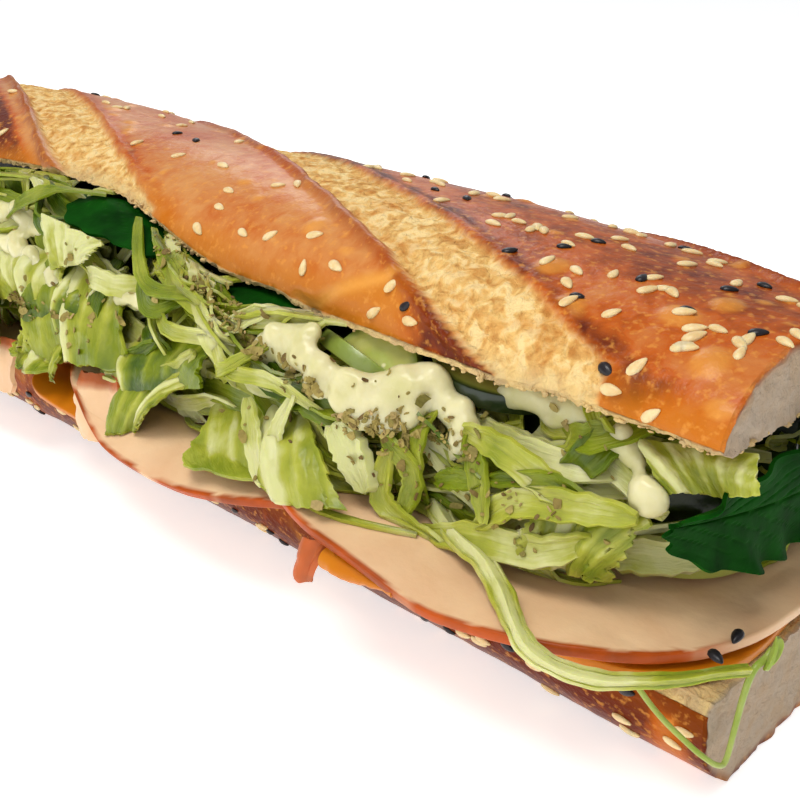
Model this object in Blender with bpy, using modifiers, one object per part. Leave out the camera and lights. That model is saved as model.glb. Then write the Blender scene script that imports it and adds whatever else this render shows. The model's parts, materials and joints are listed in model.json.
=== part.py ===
"""Turkey sandwich on a seeded, slashed baguette, cut square at both ends.

Metres, +Z up. X runs along the loaf, the open front faces -Y, and the origin is the
middle of the flat base. From the bottom up: bread, cheese, turkey, cucumber, a heap of
shredded lettuce with mayonnaise on it, dark leaves, bread. Neighbours keep a thin gap.
"""

import math
import random

import bmesh
import bpy
import numpy as np
from mathutils import Vector, noise

# Bottom bread: a squashed round with a flat base, cut level on top
BOTTOM_START_X = -0.110
BOTTOM_END_X = 0.110
BOTTOM_HALF_WIDTH = 0.0285
BOTTOM_DEPTH = 0.0212
BOTTOM_ROUNDNESS = 2.4
BOTTOM_SKEW = 0.030
SEAT_HEIGHT = 0.0176

# Top bread: a low dome over a cut that rises towards the front at the left
TOP_START_X = -0.110
TOP_END_X = 0.105
TOP_HALF_WIDTH = 0.0273
TOP_RISE = 0.0143
TOP_ROUNDNESS = 2.2
TOP_CENTRE_Y = 0.0008
CUT_HEIGHT = 0.0480
TOP_TILT = math.radians(2.0)
FRONT_CUT_RISE = 0.0074

# Slashes: slanting bands that opened in the oven, each with a lip on its left side
SLASH_STARTS = (0.206, 0.0885, -0.0055, -0.100)
SLASH_SLOPE = 2.3
SLASH_HALF_LENGTH = 0.0155
SLASH_DEPTH = 0.0014
LIP_HEIGHT = 0.0010
LIP_WIDTH = 0.16

# Fillings
GAP = 0.0004
CHEESE_THICKNESS = 0.0014
TURKEY_THICKNESS = 0.0016
DROOP_LEFT = 0.0110
DROOP_RIGHT = 0.0026
DROOP_REACH = 0.0160
RUFFLE = 0.08
SLICE_GAP = 0.0008
CUCUMBER_THICKNESS = 0.0026
LEAF_THICKNESS = 0.0007
LETTUCE_THICKNESS = 0.0009
HEAP_START_X = -0.1085
HEAP_END_X = 0.1030
FRONT_SHREDS = 16
BACK_SHREDS = 7

# Seeds
SEED_LENGTH = 0.0031
SEED_WIDTH = 0.0020
SEED_THICKNESS = 0.0011
TOP_SEED_COUNT = 36
BOTTOM_SEED_COUNT = 18
SEED_SPACING = 0.0085


def smooth_step(low, high, value):
    """Return 0 at low and 1 at high with a smooth change between them."""
    t = min(max((value - low) / (high - low), 0.0), 1.0)
    return t * t * (3.0 - 2.0 * t)


def signed_power(value, power):
    """Raise a signed number to a power and keep its sign."""
    return math.copysign(abs(value) ** power, value)


# Scene helpers

def clear_scene():
    """Remove what the new file holds."""
    for thing in list(bpy.data.objects):
        bpy.data.objects.remove(thing)


def new_collection(name):
    """Add a collection to the scene."""
    collection = bpy.data.collections.new(name)
    bpy.context.scene.collection.children.link(collection)
    return collection


def make_material(name, colour, roughness, coat=0.0):
    """Return a Principled material."""
    material = bpy.data.materials.new(name)
    material.use_nodes = True
    shader = material.node_tree.nodes["Principled BSDF"]
    shader.inputs["Base Color"].default_value = (*colour, 1.0)
    shader.inputs["Roughness"].default_value = roughness
    shader.inputs["Metallic"].default_value = 0.0
    shader.inputs["Coat Weight"].default_value = coat
    return material


def add_object(name, bm, collection, material=None, smooth=True):
    """Turn a bmesh into an object with its faces pointing out."""
    bmesh.ops.recalc_face_normals(bm, faces=bm.faces)
    mesh = bpy.data.meshes.new(name)
    bm.to_mesh(mesh)
    bm.free()
    if material:
        mesh.materials.append(material)
    if smooth:
        mesh.shade_smooth()
        mesh.set_sharp_from_angle(angle=math.radians(40))
    thing = bpy.data.objects.new(name, mesh)
    collection.objects.link(thing)
    return thing


def add_cutter(name, bm, collection):
    """Add an object that only cuts others."""
    cutter = add_object(name, bm, collection, smooth=False)
    cutter.hide_render = True
    cutter.display_type = "WIRE"
    return cutter


def evaluated_mesh(thing):
    """Return the mesh that an object's modifiers make."""
    graph = bpy.context.evaluated_depsgraph_get()
    graph.update()
    return bpy.data.meshes.new_from_object(thing.evaluated_get(graph))


def join_with(base, collection, operation):
    """Apply one Boolean of a whole collection to an object and drop loose scraps."""
    boolean = base.modifiers.new(operation.lower(), "BOOLEAN")
    boolean.operation = operation
    boolean.operand_type = "COLLECTION"
    boolean.collection = collection
    boolean.solver = "EXACT"
    mesh = evaluated_mesh(base)
    base.modifiers.clear()
    base.data = mesh
    keep_largest_shell(base)


def fuse(base, collection):
    """Fuse a collection's objects onto an object, then remove them."""
    join_with(base, collection, "UNION")
    for piece in list(collection.objects):
        bpy.data.objects.remove(piece)
    bpy.data.collections.remove(collection)


def keep_largest_shell(thing):
    """Keep an object's widest shell, which drops scraps and fills sealed hollows.

    Shells are told apart on triangles, so that flat slivers between them count as scraps.
    """
    bm = bmesh.new()
    bm.from_mesh(thing.data)
    bmesh.ops.triangulate(bm, faces=bm.faces)
    unseen = set(bm.faces)
    shells = []
    while unseen:
        front = [unseen.pop()]
        shell = list(front)
        while front:
            for edge in front.pop().edges:
                for face in edge.link_faces if len(edge.link_faces) == 2 else ():
                    if face in unseen:
                        unseen.discard(face)
                        shell.append(face)
                        front.append(face)
        shells.append(shell)
    shells.sort(key=spread)
    for shell in shells[:-1]:
        bmesh.ops.delete(bm, geom=shell, context="FACES")
    bm.to_mesh(thing.data)
    bm.free()


def spread(shell):
    """Return the length of the box diagonal of a list of faces."""
    spots = np.array([vertex.co for face in shell for vertex in face.verts])
    return float(np.linalg.norm(spots.max(axis=0) - spots.min(axis=0)))


# Section of the top bread

ARCH_ANGLES = np.linspace(0.0, math.pi, 241)
ARCH_ACROSS = np.array([-TOP_HALF_WIDTH * signed_power(math.cos(a), 2 / TOP_ROUNDNESS)
                        for a in ARCH_ANGLES])
ARCH_UP = np.array([TOP_RISE * math.sin(a) ** (2 / TOP_ROUNDNESS) for a in ARCH_ANGLES])
ARCH_RUN = np.concatenate([[0.0], np.cumsum(np.hypot(np.diff(ARCH_ACROSS), np.diff(ARCH_UP)))])
ARCH_LENGTH = float(ARCH_RUN[-1])


def arch_point(run):
    """Return the place across and up at a distance round the dome from its front edge."""
    return float(np.interp(run, ARCH_RUN, ARCH_ACROSS)), float(np.interp(run, ARCH_RUN, ARCH_UP))


def arch_normal(run):
    """Return the dome's outward direction in its own section."""
    step = 0.0008
    low = arch_point(max(run - step, 0.0))
    high = arch_point(min(run + step, ARCH_LENGTH))
    along = Vector((high[0] - low[0], high[1] - low[1])).normalized()
    return -along.y, along.x


def top_place(x, across, up):
    """Put a point of the top bread's own section into the part's frame."""
    turn, lean = math.cos(TOP_TILT), math.sin(TOP_TILT)
    from_front = across + TOP_HALF_WIDTH
    front_y = TOP_CENTRE_Y - TOP_HALF_WIDTH
    return Vector((x, front_y + from_front * turn + up * lean,
                   CUT_HEIGHT - from_front * lean + up * turn))


def cut_start(x):
    """Return how far up the front of the dome the cut begins."""
    near = smooth_step(0.020, -0.024, x)
    far = 1.0 - 0.9 * smooth_step(-0.030, TOP_START_X, x)
    return FRONT_CUT_RISE * near * far


def underside_height(x, y):
    """Return the height of the top bread's cut face."""
    across, up = arch_point(cut_start(x))
    own_across = y - TOP_CENTRE_Y
    share = (TOP_HALF_WIDTH - own_across) / (TOP_HALF_WIDTH - across)
    share = min(max(share, 0.0), 1.0)
    return top_place(x, own_across, up * share).z


def slash_across(x, run):
    """Return the nearest slash's place across its band: -1 at the left side, 1 at the right."""
    best = 9.0
    for start in SLASH_STARTS:
        middle = start - SLASH_SLOPE * run
        left = middle - SLASH_HALF_LENGTH
        right = min(middle + SLASH_HALF_LENGTH, start)
        across = (x - (left + right) / 2) / ((right - left) / 2)
        if abs(across) < abs(best):
            best = across
    return best


def crust_relief(x, run):
    """Return how far the crust stands out from the plain dome."""
    across = slash_across(x, run)
    inside = max(0.0, 1.0 - across * across)
    lip = math.exp(-((across + 1.0 + LIP_WIDTH) / LIP_WIDTH) ** 2)
    fade = smooth_step(0.0, 0.003, run) * smooth_step(ARCH_LENGTH, ARCH_LENGTH - 0.003, run)
    lump = noise.noise(Vector((x * 32.0, run * 48.0, 2.0)))
    return fade * (LIP_HEIGHT * lip - SLASH_DEPTH * inside ** 0.5 + 0.0004 * lump)


def top_surface(x, run, proud=0.0):
    """Return a point of the top crust, moved out by proud."""
    across, up = arch_point(run)
    out_across, out_up = arch_normal(run)
    swell = 1.0 + 0.10 * smooth_step(-0.035, -0.065, x) - 0.16 * smooth_step(0.045, 0.100, x)
    lift = crust_relief(x, run) + proud
    return top_place(x, across + out_across * lift, up * swell + out_up * lift)


# Section of the bottom bread

def bottom_middle(x):
    """Return the bottom bread's middle in Y: it lies a little askew, forward at the left."""
    return -BOTTOM_SKEW * (BOTTOM_END_X - x)


def bottom_surface(x, angle, proud=0.0):
    """Return a point of the bottom crust; angle 0 is the front top edge, pi the back one."""
    lump = 0.0005 * noise.noise(Vector((x * 30.0, angle * 2.5, 7.0)))
    lift = (lump + proud) * math.sin(angle) ** 0.5
    y = -(BOTTOM_HALF_WIDTH + lift) * signed_power(math.cos(angle), 2 / BOTTOM_ROUNDNESS)
    depth = (BOTTOM_DEPTH + lift) * math.sin(angle) ** (2 / BOTTOM_ROUNDNESS)
    return Vector((x, y + bottom_middle(x), max(SEAT_HEIGHT - depth, 0.0)))


def lengthwise_tube(start_x, end_x, around, along):
    """Return a closed tube along X, and its vertices' places along and around.

    The cone's first corner stands a quarter turn round, so around is a multiple of four.
    """
    bm = bmesh.new()
    bmesh.ops.create_cone(bm, cap_ends=True, segments=around, radius1=1.0, radius2=1.0, depth=1.0)
    long_edges = [edge for edge in bm.edges if abs(edge.verts[0].co.z - edge.verts[1].co.z) > 0.5]
    bmesh.ops.subdivide_edges(bm, edges=long_edges, cuts=along - 1)
    places = {}
    for vertex in bm.verts:
        turn = math.atan2(vertex.co.y, vertex.co.x) / (2 * math.pi) % 1.0
        x = start_x + (end_x - start_x) * (vertex.co.z + 0.5)
        places[vertex] = (x, round(turn * around) % around)
    return bm, places


def make_bread_top(collection, material):
    """Make the top bread: a dome over a flat cut."""
    dome_steps, flat_steps = 16, 4
    around = dome_steps + flat_steps
    bm, places = lengthwise_tube(TOP_START_X, TOP_END_X, around, 44)
    for vertex, (x, index) in places.items():
        start = cut_start(x)
        if index <= dome_steps:
            run = start + (ARCH_LENGTH - start) * index / dome_steps
            vertex.co = top_surface(x, run)
        else:
            share = (index - dome_steps) / flat_steps
            back = top_surface(x, ARCH_LENGTH)
            front = top_surface(x, start)
            vertex.co = back.lerp(front, share)
    return add_object("bread_top", bm, collection, material)


def make_bread_bottom(collection, material):
    """Make the bottom bread: a rounded trough shape with a flat base and a flat cut."""
    crust_steps, flat_steps = 16, 4
    around = crust_steps + flat_steps
    bm, places = lengthwise_tube(BOTTOM_START_X, BOTTOM_END_X, around, 22)
    for vertex, (x, index) in places.items():
        if index <= crust_steps:
            vertex.co = bottom_surface(x, math.pi * index / crust_steps)
        else:
            share = (index - crust_steps) / flat_steps
            back = bottom_surface(x, math.pi)
            front = bottom_surface(x, 0.0)
            vertex.co = back.lerp(front, share)
    return add_object("bread_bottom", bm, collection, material)


# Seeds

def add_seed(collection, centre, outward, heading):
    """Add one flat drop-shaped seed lying on a crust."""
    bm = bmesh.new()
    bmesh.ops.create_icosphere(bm, subdivisions=1, radius=0.5)
    side = outward.cross(heading).normalized()
    ahead = side.cross(outward).normalized()
    for vertex in bm.verts:
        long, wide, thick = vertex.co
        taper = 1.0 - 0.5 * (long + 0.5)
        vertex.co = (centre + ahead * long * SEED_LENGTH + side * wide * SEED_WIDTH * taper
                     + outward * thick * SEED_THICKNESS)
    add_object("seed", bm, collection, smooth=False)


def top_seed_places(count, seed):
    """Draw evenly spread places on the top crust that miss the slashes."""
    draw = random.Random(seed)
    places = []
    for _ in range(6000):
        x = draw.uniform(TOP_START_X + 0.004, TOP_END_X - 0.004)
        run = draw.uniform(0.004, ARCH_LENGTH - 0.004)
        heading = draw.uniform(0.0, math.pi)
        if len(places) == count:
            break
        if run < cut_start(x) + 0.003 or abs(slash_across(x, run)) < 1.25:
            continue
        if all(math.hypot(x - p[0], run - p[1]) > SEED_SPACING for p in places):
            places.append((x, run, heading))
    return places


def seed_top_bread(bread):
    """Fuse seeds onto the top crust."""
    seeds = new_collection("top_seeds")
    for x, run, heading in top_seed_places(TOP_SEED_COUNT, 11):
        centre = top_surface(x, run, 0.0001)
        outward = (top_surface(x, run, 0.002) - centre).normalized()
        add_seed(seeds, centre, outward, Vector((math.cos(heading), math.sin(heading), 0.2)))
    fuse(bread, seeds)


def seed_bottom_bread(bread):
    """Fuse seeds onto the two long sides of the bottom crust."""
    draw = random.Random(5)
    seeds = new_collection("bottom_seeds")
    for index in range(BOTTOM_SEED_COUNT):
        share = (index // 2 + 0.5) / (BOTTOM_SEED_COUNT // 2)
        x = BOTTOM_START_X + (BOTTOM_END_X - BOTTOM_START_X) * share + draw.uniform(-0.004, 0.004)
        angle = draw.uniform(0.20, 0.52) * math.pi / 2
        if index % 2:
            angle = math.pi - angle
        heading = draw.uniform(-0.7, 0.7)
        centre = bottom_surface(x, angle, 0.0001)
        outward = (bottom_surface(x, angle, 0.003) - centre).normalized()
        add_seed(seeds, centre, outward, Vector((math.cos(heading), 0.0, math.sin(heading))))
    fuse(bread, seeds)


# Cheese and turkey, draped over the bottom bread

def overhang(x, y):
    """Return how far past the bottom bread's long edge a place is."""
    return max(0.0, abs(y - bottom_middle(x)) - BOTTOM_HALF_WIDTH - 0.0012)


def layer_height(x, y):
    """Return the height of the seat, carried on past the bread's edges as a droop."""
    droop = DROOP_RIGHT
    if y < 0:
        droop = DROOP_LEFT + (DROOP_RIGHT - DROOP_LEFT) * smooth_step(0.025, 0.060, x)
    past = overhang(x, y)
    ruffle = RUFFLE * past * math.sin(x * 95.0 + 40.0 * y)
    return SEAT_HEIGHT - droop * min(past / DROOP_REACH, 0.9) ** 2 + ruffle


def stacked_height(x, y, rise):
    """Return the height of a place that lies rise above the seat, square to its droop."""
    step = 0.001
    slope_x = (layer_height(x + step, y) - layer_height(x - step, y)) / (2 * step)
    slope_y = (layer_height(x, y + step) - layer_height(x, y - step)) / (2 * step)
    return layer_height(x, y) + rise * math.sqrt(1.0 + slope_x ** 2 + slope_y ** 2)


def middle_turkey_lift(x):
    """Return how far the middle turkey slice is raised where it lies on the left one."""
    return (TURKEY_THICKNESS + SLICE_GAP) * smooth_step(0.004, -0.012, x)


def right_turkey_lift(x):
    """Return how far the right turkey slice is raised where it lies on the middle one."""
    return (TURKEY_THICKNESS + SLICE_GAP) * smooth_step(0.078, 0.060, x)


def filling_floor(x, y):
    """Return the height of the turkey's upper face, over every slice."""
    left_overlap = smooth_step(-0.048, -0.036, x) * smooth_step(0.004, -0.012, x)
    right_overlap = smooth_step(0.012, 0.022, x) * smooth_step(0.078, 0.060, x)
    lift = (TURKEY_THICKNESS + SLICE_GAP) * max(left_overlap, right_overlap)
    return stacked_height(x, y, GAP + CHEESE_THICKNESS + SLICE_GAP + TURKEY_THICKNESS + lift)


def rounded_grid(half_length, half_width, squareness, columns, rows):
    """Return a flat grid whose outline is a superellipse."""
    bm = bmesh.new()
    bmesh.ops.create_grid(bm, x_segments=columns, y_segments=rows, size=1.0)
    for vertex in bm.verts:
        a, b = vertex.co.x, vertex.co.y
        norm = (abs(a) ** squareness + abs(b) ** squareness) ** (1 / squareness)
        reach = max(abs(a), abs(b)) / norm if norm > 0 else 0.0
        vertex.co = Vector((a * reach * half_length, b * reach * half_width, 0.0))
    return bm


def make_slice(name, collection, material, outline, centre, yaw, height, thickness):
    """Make a thin slice that lies on a surface given by height(x, y)."""
    bm = rounded_grid(*outline)
    for vertex in bm.verts:
        a, b = vertex.co.x, vertex.co.y
        x = centre[0] + a * math.cos(yaw) - b * math.sin(yaw)
        y = centre[1] + a * math.sin(yaw) + b * math.cos(yaw) + bottom_middle(x)
        vertex.co = Vector((x, y, height(x, y)))
    for face in bm.faces:
        if face.normal.z < 0:
            face.normal_flip()
    bmesh.ops.triangulate(bm, faces=bm.faces, quad_method="SHORT_EDGE")
    mesh = bpy.data.meshes.new(name)
    bm.to_mesh(mesh)
    bm.free()
    mesh.materials.append(material)
    thing = bpy.data.objects.new(name, mesh)
    collection.objects.link(thing)
    solidify = thing.modifiers.new("thickness", "SOLIDIFY")
    solidify.thickness = thickness
    solidify.offset = 1.0
    return thing


def make_cheese(collection, material):
    """Make three cheese slices laid side by side on the bottom bread."""
    def height(x, y):
        return stacked_height(x, y, GAP)
    slices = (("cheese_left", -0.0715, -0.0010, 0.0345, 9.0, -0.03),
              ("cheese_middle", 0.0015, -0.0010, 0.0345, 9.0, 0.02),
              ("cheese_right", 0.0735, -0.0010, 0.0350, 6.0, 0.105))
    for name, x, y, half, squareness, yaw in slices:
        outline = (half - 0.0005, half, squareness, 7, 9)
        make_slice(name, collection, material, outline, (x, y), yaw, height, CHEESE_THICKNESS)


def make_turkey(collection, material):
    """Make three turkey slices, each lapped over its left neighbour."""
    def height(lift):
        return lambda x, y: stacked_height(x, y, GAP + CHEESE_THICKNESS + SLICE_GAP + lift(x))
    slices = (("turkey_left", (-0.0620, 0.0000), (0.046, 0.0340), 0.0, lambda x: 0.0),
              ("turkey_middle", (0.0140, -0.0035), (0.044, 0.0365), -0.05, middle_turkey_lift),
              ("turkey_right", (0.0680, -0.0030), (0.042, 0.0375), 0.0, right_turkey_lift))
    for name, centre, (half_length, half_width), yaw, lift in slices:
        outline = (half_length, half_width, 2.6, 10, 9)
        make_slice(name, collection, material, outline, centre, yaw, height(lift), TURKEY_THICKNESS)


# Cucumber: centre, radius and lean of each slice

CUCUMBERS = (
    ("cucumber_1", (0.0905, -0.0055, 0.0240), 0.0130, (0.0, 0.0)),
    ("cucumber_2", (0.0450, -0.0200, 0.0375), 0.0110, (-38.0, 14.0)),
    ("cucumber_3", (0.0655, -0.0130, 0.0430), 0.0118, (2.0, 3.0)),
    ("cucumber_4", (0.0250, 0.0180, 0.0370), 0.0125, (24.0, -6.0)),
    ("cucumber_5", (-0.0960, 0.0040, 0.0360), 0.0125, (10.0, 14.0)),
)


def cucumber_disc(radius, thickness, centre, lean):
    """Return a round slice as a bmesh at its place."""
    bm = bmesh.new()
    bmesh.ops.create_cone(bm, cap_ends=True, segments=20, radius1=radius, radius2=radius,
                          depth=thickness)
    about_x, about_y = (math.radians(angle) for angle in lean)
    for vertex in bm.verts:
        x, y, z = vertex.co
        y, z = (y * math.cos(about_x) - z * math.sin(about_x),
                y * math.sin(about_x) + z * math.cos(about_x))
        x, z = (x * math.cos(about_y) + z * math.sin(about_y),
                -x * math.sin(about_y) + z * math.cos(about_y))
        vertex.co = Vector(centre) + Vector((x, y, z))
    return bm


def make_cucumbers(collection, cutters, material):
    """Make the cucumber slices, and a slightly larger cutter for each."""
    for name, centre, radius, lean in CUCUMBERS:
        disc = cucumber_disc(radius, CUCUMBER_THICKNESS, centre, lean)
        add_object(name, disc, collection, material)
        room = cucumber_disc(radius + GAP, CUCUMBER_THICKNESS + 2 * GAP, centre, lean)
        add_cutter("room_" + name, room, cutters)


# Dark leaves: three lie flat under the top bread, two stand at the cut ends

FLAT_LEAVES = (
    ("dark_leaf_1", (-0.0080, -0.0200), 0.0190, 0.0125, 0.15),
    ("dark_leaf_2", (0.0300, -0.0190), 0.0150, 0.0110, -0.10),
    ("dark_leaf_3", (-0.0450, 0.0190), 0.0240, 0.0120, 0.10),
)
END_LEAVES = (
    ("dark_leaf_4", (0.1062, -0.0040, 0.0366), 0.0215, 0.0098, 1.0),
    ("dark_leaf_5", (-0.1135, 0.0050, 0.0370), 0.0150, 0.0085, -1.0),
)


def flat_leaf_height(x, y):
    """Return the middle height of a leaf that lies against the top bread's cut."""
    past = max(0.0, abs(y) - 0.0265)
    wave = 0.0004 * math.sin(x * 300.0) * math.cos(y * 260.0)
    return underside_height(x, y) - 0.0016 + wave - 0.35 * past


def leaf_outline(bm):
    """Shape a unit round grid into a leaf with a pointed end."""
    for vertex in bm.verts:
        vertex.co.y *= 1.0 - 0.35 * vertex.co.x * abs(vertex.co.x)


def leaf_solid(name, bm, collection, thickness):
    """Give an open leaf its thickness."""
    mesh = bpy.data.meshes.new(name)
    bm.to_mesh(mesh)
    bm.free()
    thing = bpy.data.objects.new(name, mesh)
    collection.objects.link(thing)
    solidify = thing.modifiers.new("thickness", "SOLIDIFY")
    solidify.thickness = thickness
    solidify.offset = 0.0
    return thing


def flat_leaf_sheet(centre, half_length, half_width, yaw):
    """Return an open leaf under the top bread."""
    bm = rounded_grid(1.0, 1.0, 2.4, 6, 4)
    leaf_outline(bm)
    for vertex in bm.verts:
        a, b = vertex.co.x * half_length, vertex.co.y * half_width
        x = centre[0] + a * math.cos(yaw) - b * math.sin(yaw)
        y = centre[1] + a * math.sin(yaw) + b * math.cos(yaw)
        vertex.co = Vector((x, y, flat_leaf_height(x, y)))
    return bm


def end_leaf_sheet(centre, half_length, half_height, side):
    """Return an open leaf that stands across a cut end and curls outwards at its rim."""
    bm = rounded_grid(1.0, 1.0, 2.6, 7, 4)
    leaf_outline(bm)
    for vertex in bm.verts:
        a, b = vertex.co.x, vertex.co.y
        wave = 0.0012 * math.sin(5.0 * a + 1.0) * b
        out = 0.0010 * b + 0.0012 * b * b + wave + 0.0030 * a * side
        x = centre[0] + side * out
        vertex.co = Vector((x, centre[1] + a * half_length, centre[2] + b * half_height))
    return bm


def make_dark_leaves(collection, cutters, material):
    """Make the dark leaves, and a thicker cutter for each."""
    sheets = [(name, flat_leaf_sheet, sizes) for name, *sizes in FLAT_LEAVES]
    sheets += [(name, end_leaf_sheet, sizes) for name, *sizes in END_LEAVES]
    for name, sheet, sizes in sheets:
        centre, half_length, half_width, bend = sizes
        leaf = leaf_solid(name, sheet(*sizes), collection, LEAF_THICKNESS)
        leaf.data.materials.append(material)
        wider = sheet(centre, half_length + GAP, half_width + GAP, bend)
        room = leaf_solid("room_" + name, wider, cutters, LEAF_THICKNESS + 2 * GAP)
        room.hide_render = True
        room.display_type = "WIRE"


# Lettuce heap

def heap_front(x):
    """Return the lettuce's front limit in Y: far out at the left, drawn in at the right end."""
    bulge = -0.0340 - 0.0015 * math.sin(x * 60.0)
    drawn_in = 0.0070 * smooth_step(0.046, 0.068, x) + 0.020 * smooth_step(0.086, 0.104, x)
    return bulge + drawn_in + 0.006 * smooth_step(-0.095, -0.112, x)


def heap_back(x):
    """Return the lettuce's back limit in Y."""
    return 0.0310 + 0.0012 * math.sin(x * 75.0 + 1.0) - 0.006 * smooth_step(0.095, 0.110, x)


def keep_clear(spot, margin):
    """Move a point of the lettuce between the turkey and the top bread."""
    low = filling_floor(spot.x, spot.y) + margin
    high = underside_height(spot.x, spot.y) - margin
    spot.z = min(max(spot.z, low), high)
    spot.x = min(max(spot.x, BOTTOM_START_X + 0.0002), BOTTOM_END_X - 0.0002)
    return spot


def make_heap_core(collection, material):
    """Make the lumpy middle of the lettuce heap, a little smaller than the heap."""
    around = 12
    bm, places = lengthwise_tube(HEAP_START_X, HEAP_END_X, around, 20)
    for vertex, (x, index) in places.items():
        turn = 2 * math.pi * index / around
        front = heap_front(x) + 0.0050
        back = heap_back(x) - 0.0040
        across = signed_power(-math.cos(turn), 0.62)
        y = (front + back) / 2 + (back - front) / 2 * across
        low = filling_floor(x, y) + 0.0004
        high = underside_height(x, y) - 0.0026
        up = signed_power(-math.sin(turn), 0.62)
        lump = 0.0016 * noise.noise(Vector((x * 90.0, turn * 2.0, 3.0)))
        z = (low + high) / 2 + ((high - low) / 2 - 0.0012) * up + lump
        spot = Vector((x, y + lump, z))
        vertex.co = keep_clear(spot, 0.0005)
        vertex.co.z = min(vertex.co.z, high)
    return add_object("lettuce", bm, collection, material)


def curve_through(points, count):
    """Return evenly stepped points on a smooth curve through the given ones."""
    ends = [points[0] * 2 - points[1]] + list(points) + [points[-1] * 2 - points[-2]]
    path = []
    for index in range(count):
        place = (len(points) - 1) * index / (count - 1)
        knot = min(int(place), len(points) - 2)
        t = place - knot
        a, b, c, d = ends[knot:knot + 4]
        path.append((b * 2 + (c - a) * t + (a * 2 - b * 5 + c * 4 - d) * t * t
                     + (b * 3 - a - c * 3 + d) * t * t * t) / 2)
    return path


def ribbon(name, collection, path, sides, width, thickness, margin=None):
    """Make a flat strip along a path; sides are its directions across at each point."""
    bm = bmesh.new()
    bmesh.ops.create_grid(bm, x_segments=len(path) - 1, y_segments=1, size=0.5)
    for vertex in bm.verts:
        index = round((vertex.co.x + 0.5) * (len(path) - 1))
        share = index / (len(path) - 1)
        taper = 0.55 + 0.45 * math.sin(math.pi * share) ** 0.5
        half = width * taper / 2
        middle = path[index].copy()
        if margin is not None:
            middle = keep_clear(middle, margin + half * abs(sides[index].z))
        vertex.co = middle + sides[index] * (2 * half * vertex.co.y)
    return leaf_solid(name, bm, collection, thickness)


def add_shred(collection, draw, x, side):
    """Add one lettuce strip to the front (side -1) or back (side 1) of the heap."""
    length = draw.uniform(0.020, 0.040)
    width = draw.uniform(0.0030, 0.0055)
    slope = draw.uniform(-0.9, 0.6)
    level = draw.uniform(0.15, 0.85)
    bow = draw.uniform(0.0015, 0.0040)
    twist = draw.uniform(-0.8, 0.8)
    path, sides = [], []
    steps = 6
    for index in range(steps):
        t = index / (steps - 1) - 0.5
        spot_x = x + length * t * math.cos(slope)
        limit = heap_front(spot_x) if side < 0 else heap_back(spot_x)
        y = limit - side * (0.0065 - 2 * bow * math.cos(math.pi * t))
        low = filling_floor(spot_x, y)
        high = underside_height(spot_x, y)
        z = low + (high - low) * level + length * t * math.sin(slope)
        path.append(Vector((spot_x, y, z + 0.0015 * math.sin(9.0 * t + x * 200.0))))
        lean = slope + math.pi / 2 + twist * t
        sides.append(Vector((math.cos(lean), 0.25 * side, math.sin(lean))).normalized())
    ribbon("shred_piece", collection, path, sides, width, LETTUCE_THICKNESS, 0.0009)


def add_big_leaf(collection, corners, columns, rows, wave):
    """Add a wavy lettuce leaf spread between four corners, top left first and clockwise."""
    bm = bmesh.new()
    bmesh.ops.create_grid(bm, x_segments=columns, y_segments=rows, size=0.5)
    top_left, top_right, low_right, low_left = (Vector(corner) for corner in corners)
    outward = (low_left - top_left).cross(top_right - top_left).normalized()
    if outward.y > 0:
        outward = -outward
    for vertex in bm.verts:
        a, b = vertex.co.x + 0.5, vertex.co.y + 0.5
        low, high = low_left.lerp(low_right, a), top_left.lerp(top_right, a)
        ripple = wave * math.sin(9.0 * a + 1.5 * b) * (1.1 - b) + 2.0 * wave * math.sin(math.pi * b)
        vertex.co = keep_clear(low.lerp(high, b) + outward * ripple, 0.0009)
    leaf_solid("leaf_piece", bm, collection, LETTUCE_THICKNESS)


# Large leaves on the heap: corners, top left first and clockwise seen from outside

BIG_LEAVES = (
    ((0.0205, -0.0300, 0.0295), (0.0385, -0.0290, 0.0345),
     (0.0580, -0.0385, 0.0262), (0.0255, -0.0420, 0.0148)),
    ((-0.0330, -0.0300, 0.0400), (-0.0080, -0.0290, 0.0440),
     (0.0040, -0.0380, 0.0300), (-0.0290, -0.0390, 0.0240)),
    ((-0.0750, -0.0290, 0.0420), (-0.0450, -0.0290, 0.0440),
     (-0.0380, -0.0400, 0.0240), (-0.0700, -0.0390, 0.0220)),
    ((-0.0060, -0.0270, 0.0330), (0.0150, -0.0270, 0.0360),
     (0.0200, -0.0390, 0.0220), (-0.0020, -0.0400, 0.0180)),
    ((0.0950, -0.0200, 0.0440), (0.1090, -0.0150, 0.0440),
     (0.1060, -0.0180, 0.0360), (0.0900, -0.0240, 0.0340)),
    ((0.0500, 0.0270, 0.0400), (0.0200, 0.0270, 0.0420),
     (0.0140, 0.0350, 0.0240), (0.0480, 0.0360, 0.0230)),
    ((-0.0600, 0.0270, 0.0390), (-0.0850, 0.0270, 0.0390),
     (-0.0900, 0.0350, 0.0240), (-0.0620, 0.0350, 0.0230)),
)

# Mayonnaise blobs on the lettuce: centre and half sizes
BLOBS = (
    ((0.0400, -0.0290, 0.0340), (0.0060, 0.0030, 0.0040)),
    ((0.0530, -0.0290, 0.0385), (0.0080, 0.0032, 0.0034)),
    ((0.0660, -0.0275, 0.0360), (0.0060, 0.0030, 0.0050)),
    ((0.0800, -0.0260, 0.0425), (0.0090, 0.0030, 0.0026)),
    ((0.0945, -0.0220, 0.0405), (0.0050, 0.0040, 0.0034)),
    ((0.0100, -0.0310, 0.0410), (0.0090, 0.0030, 0.0036)),
    ((-0.0420, -0.0310, 0.0400), (0.0100, 0.0030, 0.0040)),
)


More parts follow.
